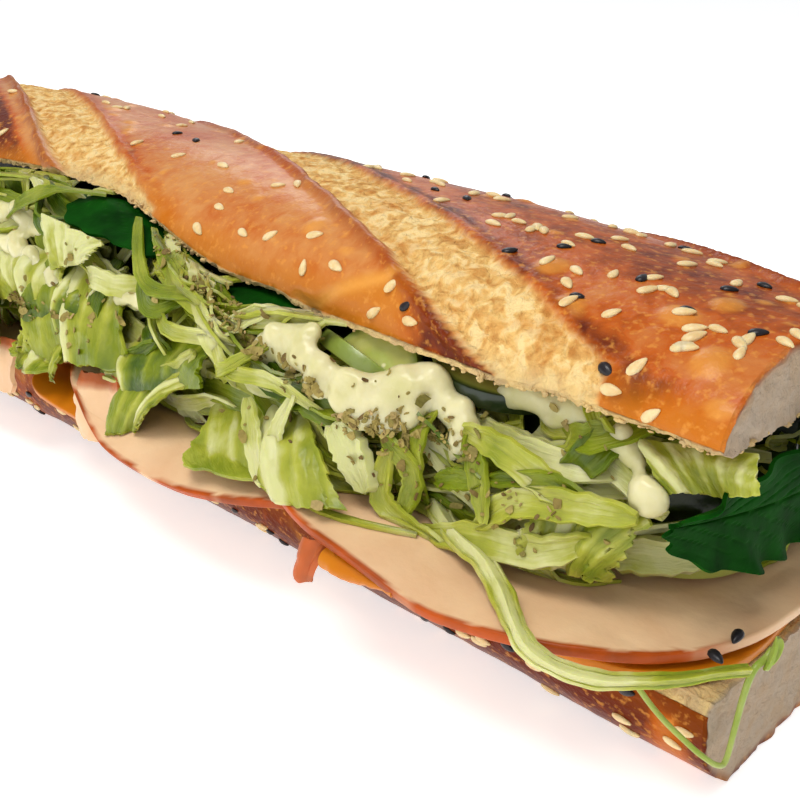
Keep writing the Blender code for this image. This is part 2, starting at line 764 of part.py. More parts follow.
def make_lettuce(collection, cutters, material):
    """Make the lettuce heap: its core, then leaves, strips and mayonnaise fused on."""
    core = make_heap_core(collection, material)
    pieces = new_collection("lettuce_pieces")
    for corners in BIG_LEAVES:
        add_big_leaf(pieces, corners, 4, 3, 0.0011)
    draw = random.Random(23)
    for index in range(FRONT_SHREDS):
        add_shred(pieces, draw, -0.098 + 0.196 * index / (FRONT_SHREDS - 1), -1)
    for index in range(BACK_SHREDS):
        add_shred(pieces, draw, -0.090 + 0.180 * index / (BACK_SHREDS - 1), 1)
    for centre, halves in BLOBS:
        bm = bmesh.new()
        bmesh.ops.create_icosphere(bm, subdivisions=2, radius=1.0)
        for vertex in bm.verts:
            spot = Vector([c + h * v for c, h, v in zip(centre, halves, vertex.co)])
            vertex.co = keep_clear(spot, 0.0006)
        add_object("blob", bm, pieces, smooth=False)
    fuse(core, pieces)
    join_with(core, cutters, "DIFFERENCE")
    core.data.materials.clear()
    core.data.materials.append(material)


# Loose strands at the right

SHRED_ROUTE = (
    (0.0600, -0.0250, 0.0275), (0.0662, -0.0284, 0.0250), (0.0723, -0.0312, 0.0243),
    (0.0770, -0.0325, 0.0240), (0.0831, -0.0358, 0.0230), (0.0880, -0.0388, 0.0226),
    (0.0915, -0.0406, 0.0222), (0.0952, -0.0390, 0.0202), (0.0998, -0.0375, 0.0201),
    (0.1035, -0.0350, 0.0204), (0.1076, -0.0335, 0.0225), (0.1109, -0.0320, 0.0245),
    (0.1132, -0.0300, 0.0260),
)
SHRED_WIDTH = 0.0034
SPROUT_ROUTE = (
    (0.1048, -0.0325, 0.0172), (0.1062, -0.0305, 0.0137), (0.1088, -0.0300, 0.0115),
    (0.1106, -0.0280, 0.0090), (0.1117, -0.0255, 0.0072), (0.1118, -0.0235, 0.0088),
    (0.1117, -0.0230, 0.0130), (0.1117, -0.0225, 0.0172), (0.1117, -0.0225, 0.0208),
    (0.1120, -0.0215, 0.0236), (0.1123, -0.0200, 0.0224),
)
SPROUT_RADIUS = 0.0005


def make_loose_shred(collection, cutters, material):
    """Make the long lettuce shred that hangs over the turkey's rim, and a cutter round it."""
    path = curve_through([Vector(spot) for spot in SHRED_ROUTE], 26)
    on_turkey, in_front = Vector((0.0, -0.35, 0.94)), Vector((0.15, -0.85, 0.50))
    sides = []
    for index, spot in enumerate(path):
        ahead = path[min(index + 1, len(path) - 1)] - path[max(index - 1, 0)]
        facing = on_turkey.lerp(in_front, smooth_step(8, 16, index)).normalized()
        sides.append(facing.cross(ahead).normalized())
    shred = ribbon("lettuce_shred", collection, path, sides, SHRED_WIDTH, LETTUCE_THICKNESS)
    shred.data.materials.append(material)
    room = ribbon("room_shred", cutters, path, sides, SHRED_WIDTH + 2 * GAP,
                  LETTUCE_THICKNESS + 2 * GAP)
    room.hide_render = True
    room.display_type = "WIRE"


def make_sprout(collection, material):
    """Make the thin sprout stem that loops past the bread's corner."""
    curve = bpy.data.curves.new("sprout", "CURVE")
    curve.dimensions = "3D"
    curve.bevel_depth = SPROUT_RADIUS
    curve.bevel_resolution = 1
    curve.use_fill_caps = True
    path = curve_through([Vector(spot) for spot in SPROUT_ROUTE], 24)
    spline = curve.splines.new("POLY")
    spline.points.add(len(path) - 1)
    for point, spot in zip(spline.points, path):
        point.co = (*spot, 1.0)
    curve.materials.append(material)
    thing = bpy.data.objects.new("sprout", curve)
    collection.objects.link(thing)


def main():
    """Build the sandwich from the bottom up."""
    clear_scene()
    parts = new_collection("turkey_sandwich")
    cutters = new_collection("cutters")
    crust = make_material("crust", (0.55, 0.22, 0.05), 0.35, 0.3)
    cheese = make_material("cheese", (0.85, 0.45, 0.06), 0.40)
    turkey = make_material("turkey", (0.78, 0.55, 0.42), 0.45)
    cucumber = make_material("cucumber", (0.62, 0.70, 0.38), 0.30)
    dark_leaf = make_material("dark_leaf", (0.04, 0.13, 0.03), 0.40)
    lettuce = make_material("lettuce", (0.52, 0.62, 0.22), 0.40)
    sprout = make_material("sprout", (0.45, 0.58, 0.15), 0.40)

    seed_bottom_bread(make_bread_bottom(parts, crust))
    make_cheese(parts, cheese)
    make_turkey(parts, turkey)
    make_cucumbers(parts, cutters, cucumber)
    make_dark_leaves(parts, cutters, dark_leaf)
    make_loose_shred(parts, cutters, lettuce)
    make_lettuce(parts, cutters, lettuce)
    make_sprout(parts, sprout)
    seed_top_bread(make_bread_top(parts, crust))


main()
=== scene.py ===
"""Looks of a turkey sandwich on a seeded, slashed baguette.

Metres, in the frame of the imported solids: X runs along the loaf, the open front faces -Y.
The breads and slices repeat the shapes of the solids at a finer step. The lettuce solid is
replaced by a core with real leaves, strips, ribs, mayonnaise and dried herbs over it.
"""

import json
import logging
import math
import random
from contextlib import contextmanager
from dataclasses import dataclass, field
from enum import Enum
from typing import Iterable, Iterator, Optional, Sequence, Union

import bpy
import numpy as np
from mathutils import Matrix, Vector, noise
from mathutils.bvhtree import BVHTree

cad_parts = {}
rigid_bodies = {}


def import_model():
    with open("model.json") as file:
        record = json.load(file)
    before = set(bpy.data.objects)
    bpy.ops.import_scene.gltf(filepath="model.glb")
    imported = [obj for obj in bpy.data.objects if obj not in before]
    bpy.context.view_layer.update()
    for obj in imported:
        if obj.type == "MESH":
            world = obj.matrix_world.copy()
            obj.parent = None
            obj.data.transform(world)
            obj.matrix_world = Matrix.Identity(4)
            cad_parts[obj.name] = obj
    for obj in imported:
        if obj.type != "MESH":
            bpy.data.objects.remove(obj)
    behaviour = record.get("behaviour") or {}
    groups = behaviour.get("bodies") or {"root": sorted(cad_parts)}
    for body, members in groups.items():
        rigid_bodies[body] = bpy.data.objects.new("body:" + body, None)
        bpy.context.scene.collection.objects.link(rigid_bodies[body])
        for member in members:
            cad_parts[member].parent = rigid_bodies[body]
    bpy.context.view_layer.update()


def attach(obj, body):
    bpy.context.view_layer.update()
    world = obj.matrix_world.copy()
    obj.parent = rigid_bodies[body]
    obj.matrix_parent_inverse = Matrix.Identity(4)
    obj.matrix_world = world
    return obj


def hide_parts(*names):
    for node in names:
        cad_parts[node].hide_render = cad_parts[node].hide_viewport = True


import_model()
LOG = logging.getLogger("sandwich")

MM = 0.001
BODY = "root"
LEAF_THICKNESS = 0.0006
STRIP_THICKNESS = 0.0005
LEAF_MARGIN = 0.0004
TURKEY_RIM = 0.0008
Colour = tuple[float, float, float]
Point = tuple[float, float, float]
Socket = bpy.types.NodeSocket
Piece = bpy.types.Object
Material = bpy.types.Material
NodeTree = bpy.types.NodeTree
Array = np.ndarray
Values = Union[Array, float]
Feed = Union[Socket, float]


class Slot(Enum):
    """Material slots of the record."""

    CRUST = "crust"
    CHEESE = "cheese"
    TURKEY = "turkey"
    CUCUMBER = "cucumber"
    DARK_LEAF = "dark_leaf"
    LETTUCE = "lettuce"
    SPROUT = "sprout"


# Numbers

def smooth_step(low: float, high: float, value: Array) -> Array:
    """Return 0 at low and 1 at high with a smooth change between them.

    Args:
        low: The value that gives 0.
        high: The value that gives 1.
        value: The values to look up.

    Returns:
        The smoothed share of each value.
    """
    t = np.clip((np.asarray(value, float) - low) / (high - low), 0.0, 1.0)
    return t * t * (3.0 - 2.0 * t)


def signed_power(value: Array, power: float) -> Array:
    """Return signed numbers raised to a power, with their signs kept."""
    return np.sign(value) * np.abs(value) ** power


def ripple(spots: Array, scale: float, seed: float, octaves: int = 1) -> Array:
    """Return smooth noise at points, about -1 to 1.

    Args:
        spots: Points in metres, one a row.
        scale: Bumps for each metre.
        seed: A number that picks another pattern.
        octaves: How many finer patterns are added, each half as strong.

    Returns:
        One value a point.
    """
    shift = Vector((seed * 7.31, -seed * 3.17, seed * 1.73))
    total = np.zeros(len(spots))
    for octave in range(octaves):
        size = scale * 2 ** octave
        values = [noise.noise(Vector(spot) * size + shift) for spot in spots]
        total += np.array(values) / 2 ** octave
    return total


def xyz(x: Values, y: Values, z: Values) -> Array:
    """Return points, one a row, from their coordinates, each an array or one number for all."""
    return np.stack(np.broadcast_arrays(x, y, z), axis=-1)


def unit_rows(rows: Array) -> Array:
    """Return vectors, one a row, brought to length 1."""
    return rows / (np.linalg.norm(rows, axis=1)[:, None] + 1e-12)


def at_ends(share: Array) -> Array:
    """Return which places along a unit box lie on its two end faces."""
    return (share < 1e-4) | (share > 1.0 - 1e-4)


def linear(colour: Colour) -> tuple[float, float, float, float]:
    """Return a shader colour from one given as 0 to 255 screen values."""
    parts = [c / 255.0 for c in colour]
    parts = [c / 12.92 if c <= 0.04045 else ((c + 0.055) / 1.055) ** 2.4 for c in parts]
    return (*parts, 1.0)


# Modelling helpers

def pick(*things: Piece) -> None:
    """Select only these objects and make the first one active."""
    bpy.ops.object.select_all(action="DESELECT")
    for thing in things:
        thing.select_set(True)
    if things:
        bpy.context.view_layer.objects.active = things[0]


def named(name: str) -> Piece:
    """Name the active object and its mesh, apply its place, and return it."""
    thing = bpy.context.active_object
    thing.name = thing.data.name = name
    pick(thing)
    bpy.ops.object.transform_apply(location=True, rotation=True, scale=True)
    return thing


def joined(name: str, things: Sequence[Piece]) -> Piece:
    """Join objects into one and return it."""
    pick(*things)
    bpy.ops.object.join()
    return named(name)


def finish_modifier(thing: Piece, kind: str, **values: object) -> None:
    """Add a modifier with these values and apply it."""
    pick(thing)
    modifier = thing.modifiers.new(kind.lower(), kind)
    for key, value in values.items():
        setattr(modifier, key, value)
    bpy.ops.object.modifier_apply(modifier=modifier.name)


@contextmanager
def edit_mode(thing: Piece, select: Optional[str] = "SELECT") -> Iterator[None]:
    """Hold an object in edit mode.

    Args:
        thing: The object.
        select: SELECT picks all of its mesh, DESELECT none of it, and None keeps what is picked.

    Yields:
        Nothing; the object leaves edit mode afterwards.
    """
    pick(thing)
    bpy.ops.object.mode_set(mode="EDIT")
    if select:
        bpy.ops.mesh.select_all(action=select)
    yield
    bpy.ops.object.mode_set(mode="OBJECT")


def unit_sheet(name: str, columns: int, rows: int) -> Piece:
    """Return a flat grid over the unit square, ready to be shaped."""
    pick()
    bpy.ops.mesh.primitive_grid_add(x_subdivisions=columns, y_subdivisions=rows, size=1.0,
                                    location=(0.5, 0.5, 0.0))
    return named(name)


def unit_box(name: str, along: int, across: int, up: int) -> Piece:
    """Return a closed unit box of quads, ready to be shaped.

    Args:
        name: The new object's name.
        along: Divisions along X.
        across: Divisions along Y.
        up: Divisions along Z.

    Returns:
        The box, its corner at the origin.
    """
    quarter = math.pi / 2
    sides = (
        ((0.5, 0.5, 1.0), (0.0, 0.0, 0.0), along, across),
        ((0.5, 0.5, 0.0), (math.pi, 0.0, 0.0), along, across),
        ((0.5, 0.0, 0.5), (quarter, 0.0, 0.0), along, up),
        ((0.5, 1.0, 0.5), (-quarter, 0.0, 0.0), along, up),
        ((1.0, 0.5, 0.5), (0.0, quarter, 0.0), up, across),
        ((0.0, 0.5, 0.5), (0.0, -quarter, 0.0), up, across),
    )
    panels = []
    pick()
    for place, turn, columns, rows in sides:
        bpy.ops.mesh.primitive_grid_add(x_subdivisions=columns, y_subdivisions=rows, size=1.0,
                                        location=place, rotation=turn)
        panels.append(bpy.context.active_object)
    box = joined(name, panels)
    with edit_mode(box):
        bpy.ops.mesh.remove_doubles(threshold=0.0001)
    recalculated(box)
    return box


def spots_of(thing: Piece) -> Array:
    """Return an object's vertex places, one a row."""
    spots = np.zeros(len(thing.data.vertices) * 3)
    thing.data.vertices.foreach_get("co", spots)
    return spots.reshape(-1, 3)


def reshape(thing: Piece, spots: Array) -> None:
    """Move an object's vertices to these places."""
    thing.data.vertices.foreach_set("co", np.ascontiguousarray(spots, float).ravel())
    thing.data.update()


def mark(thing: Piece, **marks: Values) -> None:
    """Store values on the vertices, under the names that a material reads."""
    for name, values in marks.items():
        layer = thing.data.attributes.new(name, "FLOAT", "POINT")
        every = np.broadcast_to(np.asarray(values, np.float32), len(layer.data))
        layer.data.foreach_set("value", np.ascontiguousarray(every))


def repeated(name: str, model: Piece, copies: Array, **marks: Values) -> Piece:
    """Return one object that holds many reshaped copies of a model, which is removed.

    Args:
        name: The new object's name.
        model: The piece that repeats.
        copies: Vertex places, copy by copy.
        marks: Values stored on the vertices, copy by copy.

    Returns:
        The joined copies.
    """
    faces = np.array([list(polygon.vertices) for polygon in model.data.polygons])
    count, size = copies.shape[0], copies.shape[1]
    every = (faces[None] + (np.arange(count) * size)[:, None, None]).reshape(-1, faces.shape[1])
    mesh = bpy.data.meshes.new(name)
    mesh.from_pydata(copies.reshape(-1, 3), [], every)
    thing = bpy.data.objects.new(name, mesh)
    bpy.context.scene.collection.objects.link(thing)
    mark(thing, **{key: np.reshape(values, -1) for key, values in marks.items()})
    bpy.data.objects.remove(model)
    return thing


def smooth(thing: Piece, angle: float = 50.0) -> None:
    """Shade an object smooth, with edges sharper than an angle in degrees kept."""
    pick(thing)
    bpy.ops.object.shade_smooth_by_angle(angle=math.radians(angle))


def recalculated(thing: Piece) -> None:
    """Turn an object's faces outwards."""
    with edit_mode(thing):
        bpy.ops.mesh.normals_make_consistent(inside=False)


def dressed(thing: Piece, material: Material, slot: Slot,
            *nodes: str) -> Piece:
    """Give a piece its material and its place in the part, and report it.

    Args:
        thing: The finished piece.
        material: Its material.
        slot: The record's slot; not used.
        nodes: The solids that it stands for.

    Returns:
        The same piece.
    """
    thing.data.materials.clear()
    thing.data.materials.append(material)
    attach(thing, BODY)
    if nodes:
        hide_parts(*nodes)
    LOG.info("%s: %d faces", thing.name, len(thing.data.polygons))
    return thing


def tree_of(things: Iterable[Piece]) -> BVHTree:
    """Return a tree that rays can be cast at, made of the faces of some objects."""
    spots, faces, base = [], [], 0
    for thing in things:
        own = spots_of(thing)
        spots.append(own)
        faces += [[base + index for index in polygon.vertices] for polygon in thing.data.polygons]
        base += len(own)
    return BVHTree.FromPolygons(np.vstack(spots).tolist(), faces)


def smooth_path(points: Sequence[Point], count: int) -> Array:
    """Return evenly stepped points on a smooth curve through a few given ones.

    Args:
        points: The given points.
        count: How many points are returned.

    Returns:
        The points, one a row.
    """
    knots = np.array(points, float)
    ends = np.vstack([2 * knots[0] - knots[1], knots, 2 * knots[-1] - knots[-2]])
    path = []
    for place in np.linspace(0, len(knots) - 1, count):
        first = min(int(place), len(knots) - 2)
        t = place - first
        a, b, c, d = ends[first:first + 4]
        path.append((2 * b + (c - a) * t + (2 * a - 5 * b + 4 * c - d) * t ** 2
                     + (3 * b - a - 3 * c + d) * t ** 3) / 2)
    return np.array(path)


def frame_along(path: Array, facing: Array) -> tuple[Array, Array, Array]:
    """Return three directions at each point of a path.

    Args:
        path: The points along it.
        facing: The direction that it faces, one for all or one a point.

    Returns:
        The directions ahead, sideways and out of its face.
    """
    ahead = unit_rows(np.gradient(path, axis=0))
    side = unit_rows(np.cross(facing, ahead))
    return ahead, side, np.cross(ahead, side)


def rounded(a: Array, b: Array, power: float) -> tuple[Array, Array, Array]:
    """Return points of a square sheet, -1 to 1, drawn in to a rounded outline.

    Args:
        a: Places along.
        b: Places across.
        power: How square the outline is; 2 is an ellipse.

    Returns:
        The new places along and across, and how near each lies to the rim, 0 to 1.
    """
    norm = (np.abs(a) ** power + np.abs(b) ** power) ** (1 / power)
    largest = np.maximum(np.abs(a), np.abs(b))
    reach = np.divide(largest, norm, out=np.zeros_like(norm), where=norm > 0)
    return a * reach, b * reach, largest


def between(corners: Sequence[Point], a: Array, b: Array) -> Array:
    """Return points between four corners in millimetres, top left first and clockwise.

    Args:
        corners: The corners.
        a: Places from left to right, 0 to 1.
        b: Places from the lower edge up, 0 to 1.

    Returns:
        The points in metres, one a row.
    """
    top_left, top_right, low_right, low_left = (np.array(corner) * MM for corner in corners)
    low = low_left + (low_right - low_left) * a[:, None]
    high = top_left + (top_right - top_left) * a[:, None]
    return low + (high - low) * b[:, None]


# Shapes of the breads and of the space between them

@dataclass
class TopShape:
    """The top bread: a low dome over a cut that rises towards the front at the left."""

    start_x: float = -0.110
    end_x: float = 0.105
    half_width: float = 0.0273
    rise: float = 0.0143
    roundness: float = 2.2
    centre_y: float = 0.0008
    cut_height: float = 0.0480
    tilt: float = math.radians(2.0)
    front_cut_rise: float = 0.0074
    slash_starts: tuple[float, ...] = (0.206, 0.0885, -0.0055, -0.100)
    slash_slope: float = 2.3
    slash_half_length: float = 0.0155
    flap_drop: float = 0.0013

    def __post_init__(self) -> None:
        """Work out the section's outline and its length."""
        angles = np.linspace(0.0, math.pi, 241)
        self.across = -self.half_width * signed_power(np.cos(angles), 2 / self.roundness)
        self.up = self.rise * np.abs(np.sin(angles)) ** (2 / self.roundness)
        steps = np.hypot(np.diff(self.across), np.diff(self.up))
        self.run = np.concatenate([[0.0], np.cumsum(steps)])
        self.length = float(self.run[-1])

    def section(self, run: Array) -> tuple[Array, Array]:
        """Return places across and up at distances round the dome from its front edge."""
        return np.interp(run, self.run, self.across), np.interp(run, self.run, self.up)

    def placed(self, x: Array, across: Array, up: Array) -> Array:
        """Put points of the bread's own section into the part's frame.

        Args:
            x: Places along the loaf.
            across: Places across it.
            up: Heights above its cut.

        Returns:
            The points.
        """
        turn, lean = math.cos(self.tilt), math.sin(self.tilt)
        from_front = across + self.half_width
        y = self.centre_y - self.half_width + from_front * turn + up * lean
        z = self.cut_height - from_front * lean + up * turn
        return xyz(x, y, z)

    def cut_start(self, x: Array) -> Array:
        """Return how far up the front of the dome the cut begins."""
        near = smooth_step(0.020, -0.024, x)
        far = 1.0 - 0.9 * smooth_step(-0.030, self.start_x, x)
        return self.front_cut_rise * near * far

    def hang(self, x: Array) -> Array:
        """Return how far the torn front edge hangs down below the cut."""
        return self.flap_drop * smooth_step(0.029, 0.036, x) * smooth_step(0.084, 0.070, x)

    def underside(self, x: Array, y: Array) -> Array:
        """Return the height of the cut face."""
        across, up = self.section(self.cut_start(x))
        own = y - self.centre_y
        share = np.clip((self.half_width - own) / (self.half_width - across), 0.0, 1.0)
        return self.placed(x, own, up * share)[..., 2]

    def slash(self, x: Array, run: Array) -> Array:
        """Return the nearest slash's place across its band: -1 left, 1 right.

        Args:
            x: Places along the loaf.
            run: Distances round the dome from its front edge.

        Returns:
            One value a point, past 1 outside a slash.
        """
        best = np.full(np.broadcast(x, run).shape, 9.0)
        for start in self.slash_starts:
            middle = start - self.slash_slope * run
            left = middle - self.slash_half_length
            right = np.minimum(middle + self.slash_half_length, start)
            across = (x - (left + right) / 2) / ((right - left) / 2)
            best = np.where(np.abs(across) < np.abs(best), across, best)
        return best

    def surface(self, x: Array, run: Array, lift: Array) -> Array:
        """Return points of the crust, moved out by lift.

        Args:
            x: Places along the loaf.
            run: Distances round the dome from its front edge.
            lift: How far each point is moved out.

        Returns:
            The points.
        """
        across, up = self.section(run)
        step = 0.0008
        low = self.section(np.maximum(run - step, 0.0))
        high = self.section(np.minimum(run + step, self.length))
        along = np.stack([high[0] - low[0], high[1] - low[1]])
        along = along / np.linalg.norm(along, axis=0)
        swell = (1.0 + 0.10 * smooth_step(-0.035, -0.065, x)
                 - 0.16 * smooth_step(0.045, 0.100, x))
        return self.placed(x, across - along[1] * lift, up * swell + along[0] * lift)


@dataclass
class BottomShape:
    """The bottom bread: a squashed round with a flat base, cut level on top."""

    start_x: float = -0.110
    end_x: float = 0.110
    half_width: float = 0.0285
    depth: float = 0.0212
    roundness: float = 2.4
    skew: float = 0.030
    seat: float = 0.0176

    def middle(self, x: Array) -> Array:
        """Return the bread's middle in Y: it lies a little askew, forward at the left."""
        return -self.skew * (self.end_x - x)

    def surface(self, x: Array, angle: Array, lift: Array) -> Array:
        """Return points of the crust; angle 0 is the front top edge, pi the back one.

        Args:
            x: Places along the loaf.
            angle: Places round it.
            lift: How far each point is moved out.

        Returns:
            The points.
        """
        lift = lift * np.sqrt(np.abs(np.sin(angle)))
        y = -(self.half_width + lift) * signed_power(np.cos(angle), 2 / self.roundness)
        down = (self.depth + lift) * np.abs(np.sin(angle)) ** (2 / self.roundness)
        z = np.maximum(self.seat - down, 0.0)
        return xyz(x, y + self.middle(x), z)


@dataclass
class FillingShape:
    """The fillings' layers, which droop past the bottom bread's long edges."""

    top: TopShape
    bottom: BottomShape
    gap: float = 0.0004
    cheese: float = 0.0014
    turkey: float = 0.0016
    slice_gap: float = 0.0008
    droop_left: float = 0.0110
    droop_right: float = 0.0026
    droop_reach: float = 0.0160
    ruffle: float = 0.08

    def layer(self, x: Array, y: Array) -> Array:
        """Return the height of the seat, carried on past the bread's edges as a droop."""
        past = np.maximum(0.0, np.abs(y - self.bottom.middle(x)) - self.bottom.half_width - 0.0012)
        front = self.droop_left + (self.droop_right - self.droop_left) * smooth_step(0.025, 0.060, x)
        droop = np.where(y < 0, front, self.droop_right)
        wave = self.ruffle * past * np.sin(x * 95.0 + 40.0 * y)
        return self.bottom.seat - droop * np.minimum(past / self.droop_reach, 0.9) ** 2 + wave

    def stacked(self, x: Array, y: Array, rise: Array) -> Array:
        """Return heights of places that lie rise above the seat, square to its droop."""
        step = 0.001
        slope_x = (self.layer(x + step, y) - self.layer(x - step, y)) / (2 * step)
        slope_y = (self.layer(x, y + step) - self.layer(x, y - step)) / (2 * step)
        return self.layer(x, y) + rise * np.sqrt(1.0 + slope_x ** 2 + slope_y ** 2)

    def floor(self, x: Array, y: Array) -> Array:
        """Return the height of the turkey's upper face, over every slice."""
        left = smooth_step(-0.048, -0.036, x) * smooth_step(0.004, -0.012, x)
        right = smooth_step(0.012, 0.022, x) * smooth_step(0.078, 0.060, x)
        lift = (self.turkey + self.slice_gap) * np.maximum(left, right)
        rise = self.gap + self.cheese + self.slice_gap + self.turkey + lift
        return self.stacked(x, y, rise)

    def heap_front(self, x: Array) -> Array:
        """Return the lettuce's front limit in Y."""
        bulge = -0.0340 - 0.0015 * np.sin(x * 60.0)
        drawn_in = 0.0070 * smooth_step(0.046, 0.068, x) + 0.020 * smooth_step(0.086, 0.104, x)
        return bulge + drawn_in + 0.006 * smooth_step(-0.095, -0.112, x)

    def heap_back(self, x: Array) -> Array:
        """Return the lettuce's back limit in Y."""
        return 0.0310 + 0.0012 * np.sin(x * 75.0 + 1.0) - 0.006 * smooth_step(0.095, 0.110, x)

    def kept_clear(self, spots: Array, margin: float) -> Array:
        """Move points of the lettuce between the turkey and the top bread."""
        low = self.floor(spots[..., 0], spots[..., 1]) + margin
        high = self.top.underside(spots[..., 0], spots[..., 1]) - margin
        spots[..., 2] = np.clip(spots[..., 2], low, np.maximum(high, low))
        return spots


# Materials

class Shader:
    """Builds one Principled material node by node."""

    def __init__(self, name: str) -> None:
        """Start an empty Principled material."""
        self.material = bpy.data.materials.new(name)
        self.material.use_nodes = True
        self.nodes = self.material.node_tree.nodes
        self.links = self.material.node_tree.links
        self.surface = self.nodes["Principled BSDF"]
        self.place = self.nodes.new("ShaderNodeTexCoord").outputs["Object"]

    def feed(self, socket: Socket, value: Union[Socket, float, Sequence[float]]) -> None:
        """Link a socket to another one, or set its value."""
        if isinstance(value, bpy.types.NodeSocket):
            self.links.new(value, socket)
        else:
            socket.default_value = value

    def attribute(self, name: str) -> Socket:
        """Return a value stored on the piece's vertices."""
        node = self.nodes.new("ShaderNodeAttribute")
        node.attribute_name = name
        return node.outputs["Fac"]

    def combined(self, x: Socket, y: Socket, z: Feed = 0.0) -> Socket:
        """Return a vector made of three values."""
        node = self.nodes.new("ShaderNodeCombineXYZ")
        for socket, value in zip(node.inputs, (x, y, z)):
            self.feed(socket, value)
        return node.outputs["Vector"]

    def noise(self, scale: float, detail: float = 3.0, vector: Optional[Socket] = None,
              distortion: float = 0.0) -> Socket:
        """Return a noise value, 0 to 1."""
        node = self.nodes.new("ShaderNodeTexNoise")
        node.inputs["Scale"].default_value = scale
        node.inputs["Detail"].default_value = detail
        node.inputs["Distortion"].default_value = distortion
        self.links.new(vector or self.place, node.inputs["Vector"])
        return node.outputs["Fac"]

    def cells(self, scale: float) -> Socket:
        """Return the distance from the middle of random cells."""
        node = self.nodes.new("ShaderNodeTexVoronoi")
        node.inputs["Scale"].default_value = scale
        self.links.new(self.place, node.inputs["Vector"])
        return node.outputs["Distance"]

    def ramp(self, value: Socket, *stops: tuple[float, Colour]) -> Socket:
        """Return a colour that follows a value through some stops."""
        node = self.nodes.new("ShaderNodeValToRGB")
        elements = node.color_ramp.elements
        while len(elements) < len(stops):
            elements.new(0.5)
        for element, (place, colour) in zip(elements, stops):
            element.position = place
            element.color = linear(colour)
        self.links.new(value, node.inputs["Fac"])
        return node.outputs["Color"]

    def span(self, value: Socket, low: float, high: float) -> Socket:
        """Return a value stretched so that low gives 0 and high gives 1."""
        node = self.nodes.new("ShaderNodeMapRange")
        node.inputs["From Min"].default_value = low
        node.inputs["From Max"].default_value = high
        self.links.new(value, node.inputs["Value"])
        return node.outputs["Result"]

    def mix(self, share: Feed, first: Union[Socket, Colour],
            second: Union[Socket, Colour], blend: str = "MIX") -> Socket:
        """Return two colours mixed by a share."""
        node = self.nodes.new("ShaderNodeMix")
        node.data_type = "RGBA"
        node.blend_type = blend
        self.feed(node.inputs[0], share)
        for socket, colour in ((node.inputs[6], first), (node.inputs[7], second)):
            self.feed(socket, colour if isinstance(colour, bpy.types.NodeSocket) else linear(colour))
        return node.outputs[2]

    def combine(self, kind: str, first: Feed,
                second: Feed = 0.0) -> Socket:
        """Return two values put together by a named arithmetic operation."""
        node = self.nodes.new("ShaderNodeMath")
        node.operation = kind
        self.feed(node.inputs[0], first)
        self.feed(node.inputs[1], second)
        return node.outputs[0]

    def bump(self, height: Socket, distance: float, under: Optional[Socket] = None) -> Socket:
        """Return a normal tilted by a height, over another one."""
        node = self.nodes.new("ShaderNodeBump")
        node.inputs["Distance"].default_value = distance
        self.links.new(height, node.inputs["Height"])
        if under:
            self.links.new(under, node.inputs["Normal"])
        return node.outputs["Normal"]

    def group(self, tree: NodeTree, **values: Union[Socket, float, Colour]) -> bpy.types.Node:
        """Return a placed node group with these input values."""
        node = self.nodes.new("ShaderNodeGroup")
        node.node_tree = tree
        for key, value in values.items():
            self.feed(node.inputs[key.replace("_", " ").capitalize()], value)
        return node

    def finish(self, **values: Union[Socket, float, Sequence[float]]) -> Material:
        """Set the surface's inputs, named with underscores, and return the material."""
        for key, value in values.items():
            words = [w if w == "IOR" else w.capitalize() for w in key.split("_")]
            self.feed(self.surface.inputs[" ".join(words)], value)
        return self.material


def mottle_group() -> NodeTree:
    """Return the node group that tints a colour in soft uneven patches."""
    tree = bpy.data.node_groups.new("mottle", "ShaderNodeTree")
    for name, kind in (("Vector", "NodeSocketVector"), ("Colour", "NodeSocketColor"),
                       ("Tint", "NodeSocketColor"), ("Scale", "NodeSocketFloat"),
                       ("Amount", "NodeSocketFloat")):
        tree.interface.new_socket(name=name, in_out="INPUT", socket_type=kind)
    tree.interface.new_socket(name="Colour", in_out="OUTPUT", socket_type="NodeSocketColor")
    start, end = tree.nodes.new("NodeGroupInput"), tree.nodes.new("NodeGroupOutput")
    cloud, curve = tree.nodes.new("ShaderNodeTexNoise"), tree.nodes.new("ShaderNodeMapRange")
    share, mix = tree.nodes.new("ShaderNodeMath"), tree.nodes.new("ShaderNodeMix")
    cloud.inputs["Detail"].default_value = 5.0
    curve.inputs["From Min"].default_value = 0.38
    curve.inputs["From Max"].default_value = 0.66
    share.operation = "MULTIPLY"
    mix.data_type = "RGBA"
    for source, target in ((start.outputs["Vector"], cloud.inputs["Vector"]),
                           (start.outputs["Scale"], cloud.inputs["Scale"]),
                           (cloud.outputs["Fac"], curve.inputs["Value"]),
                           (curve.outputs["Result"], share.inputs[0]),
                           (start.outputs["Amount"], share.inputs[1]),
                           (share.outputs[0], mix.inputs[0]),
                           (start.outputs["Colour"], mix.inputs[6]),
                           (start.outputs["Tint"], mix.inputs[7]),
                           (mix.outputs[2], end.inputs["Colour"])):
        tree.links.new(source, target)
    return tree


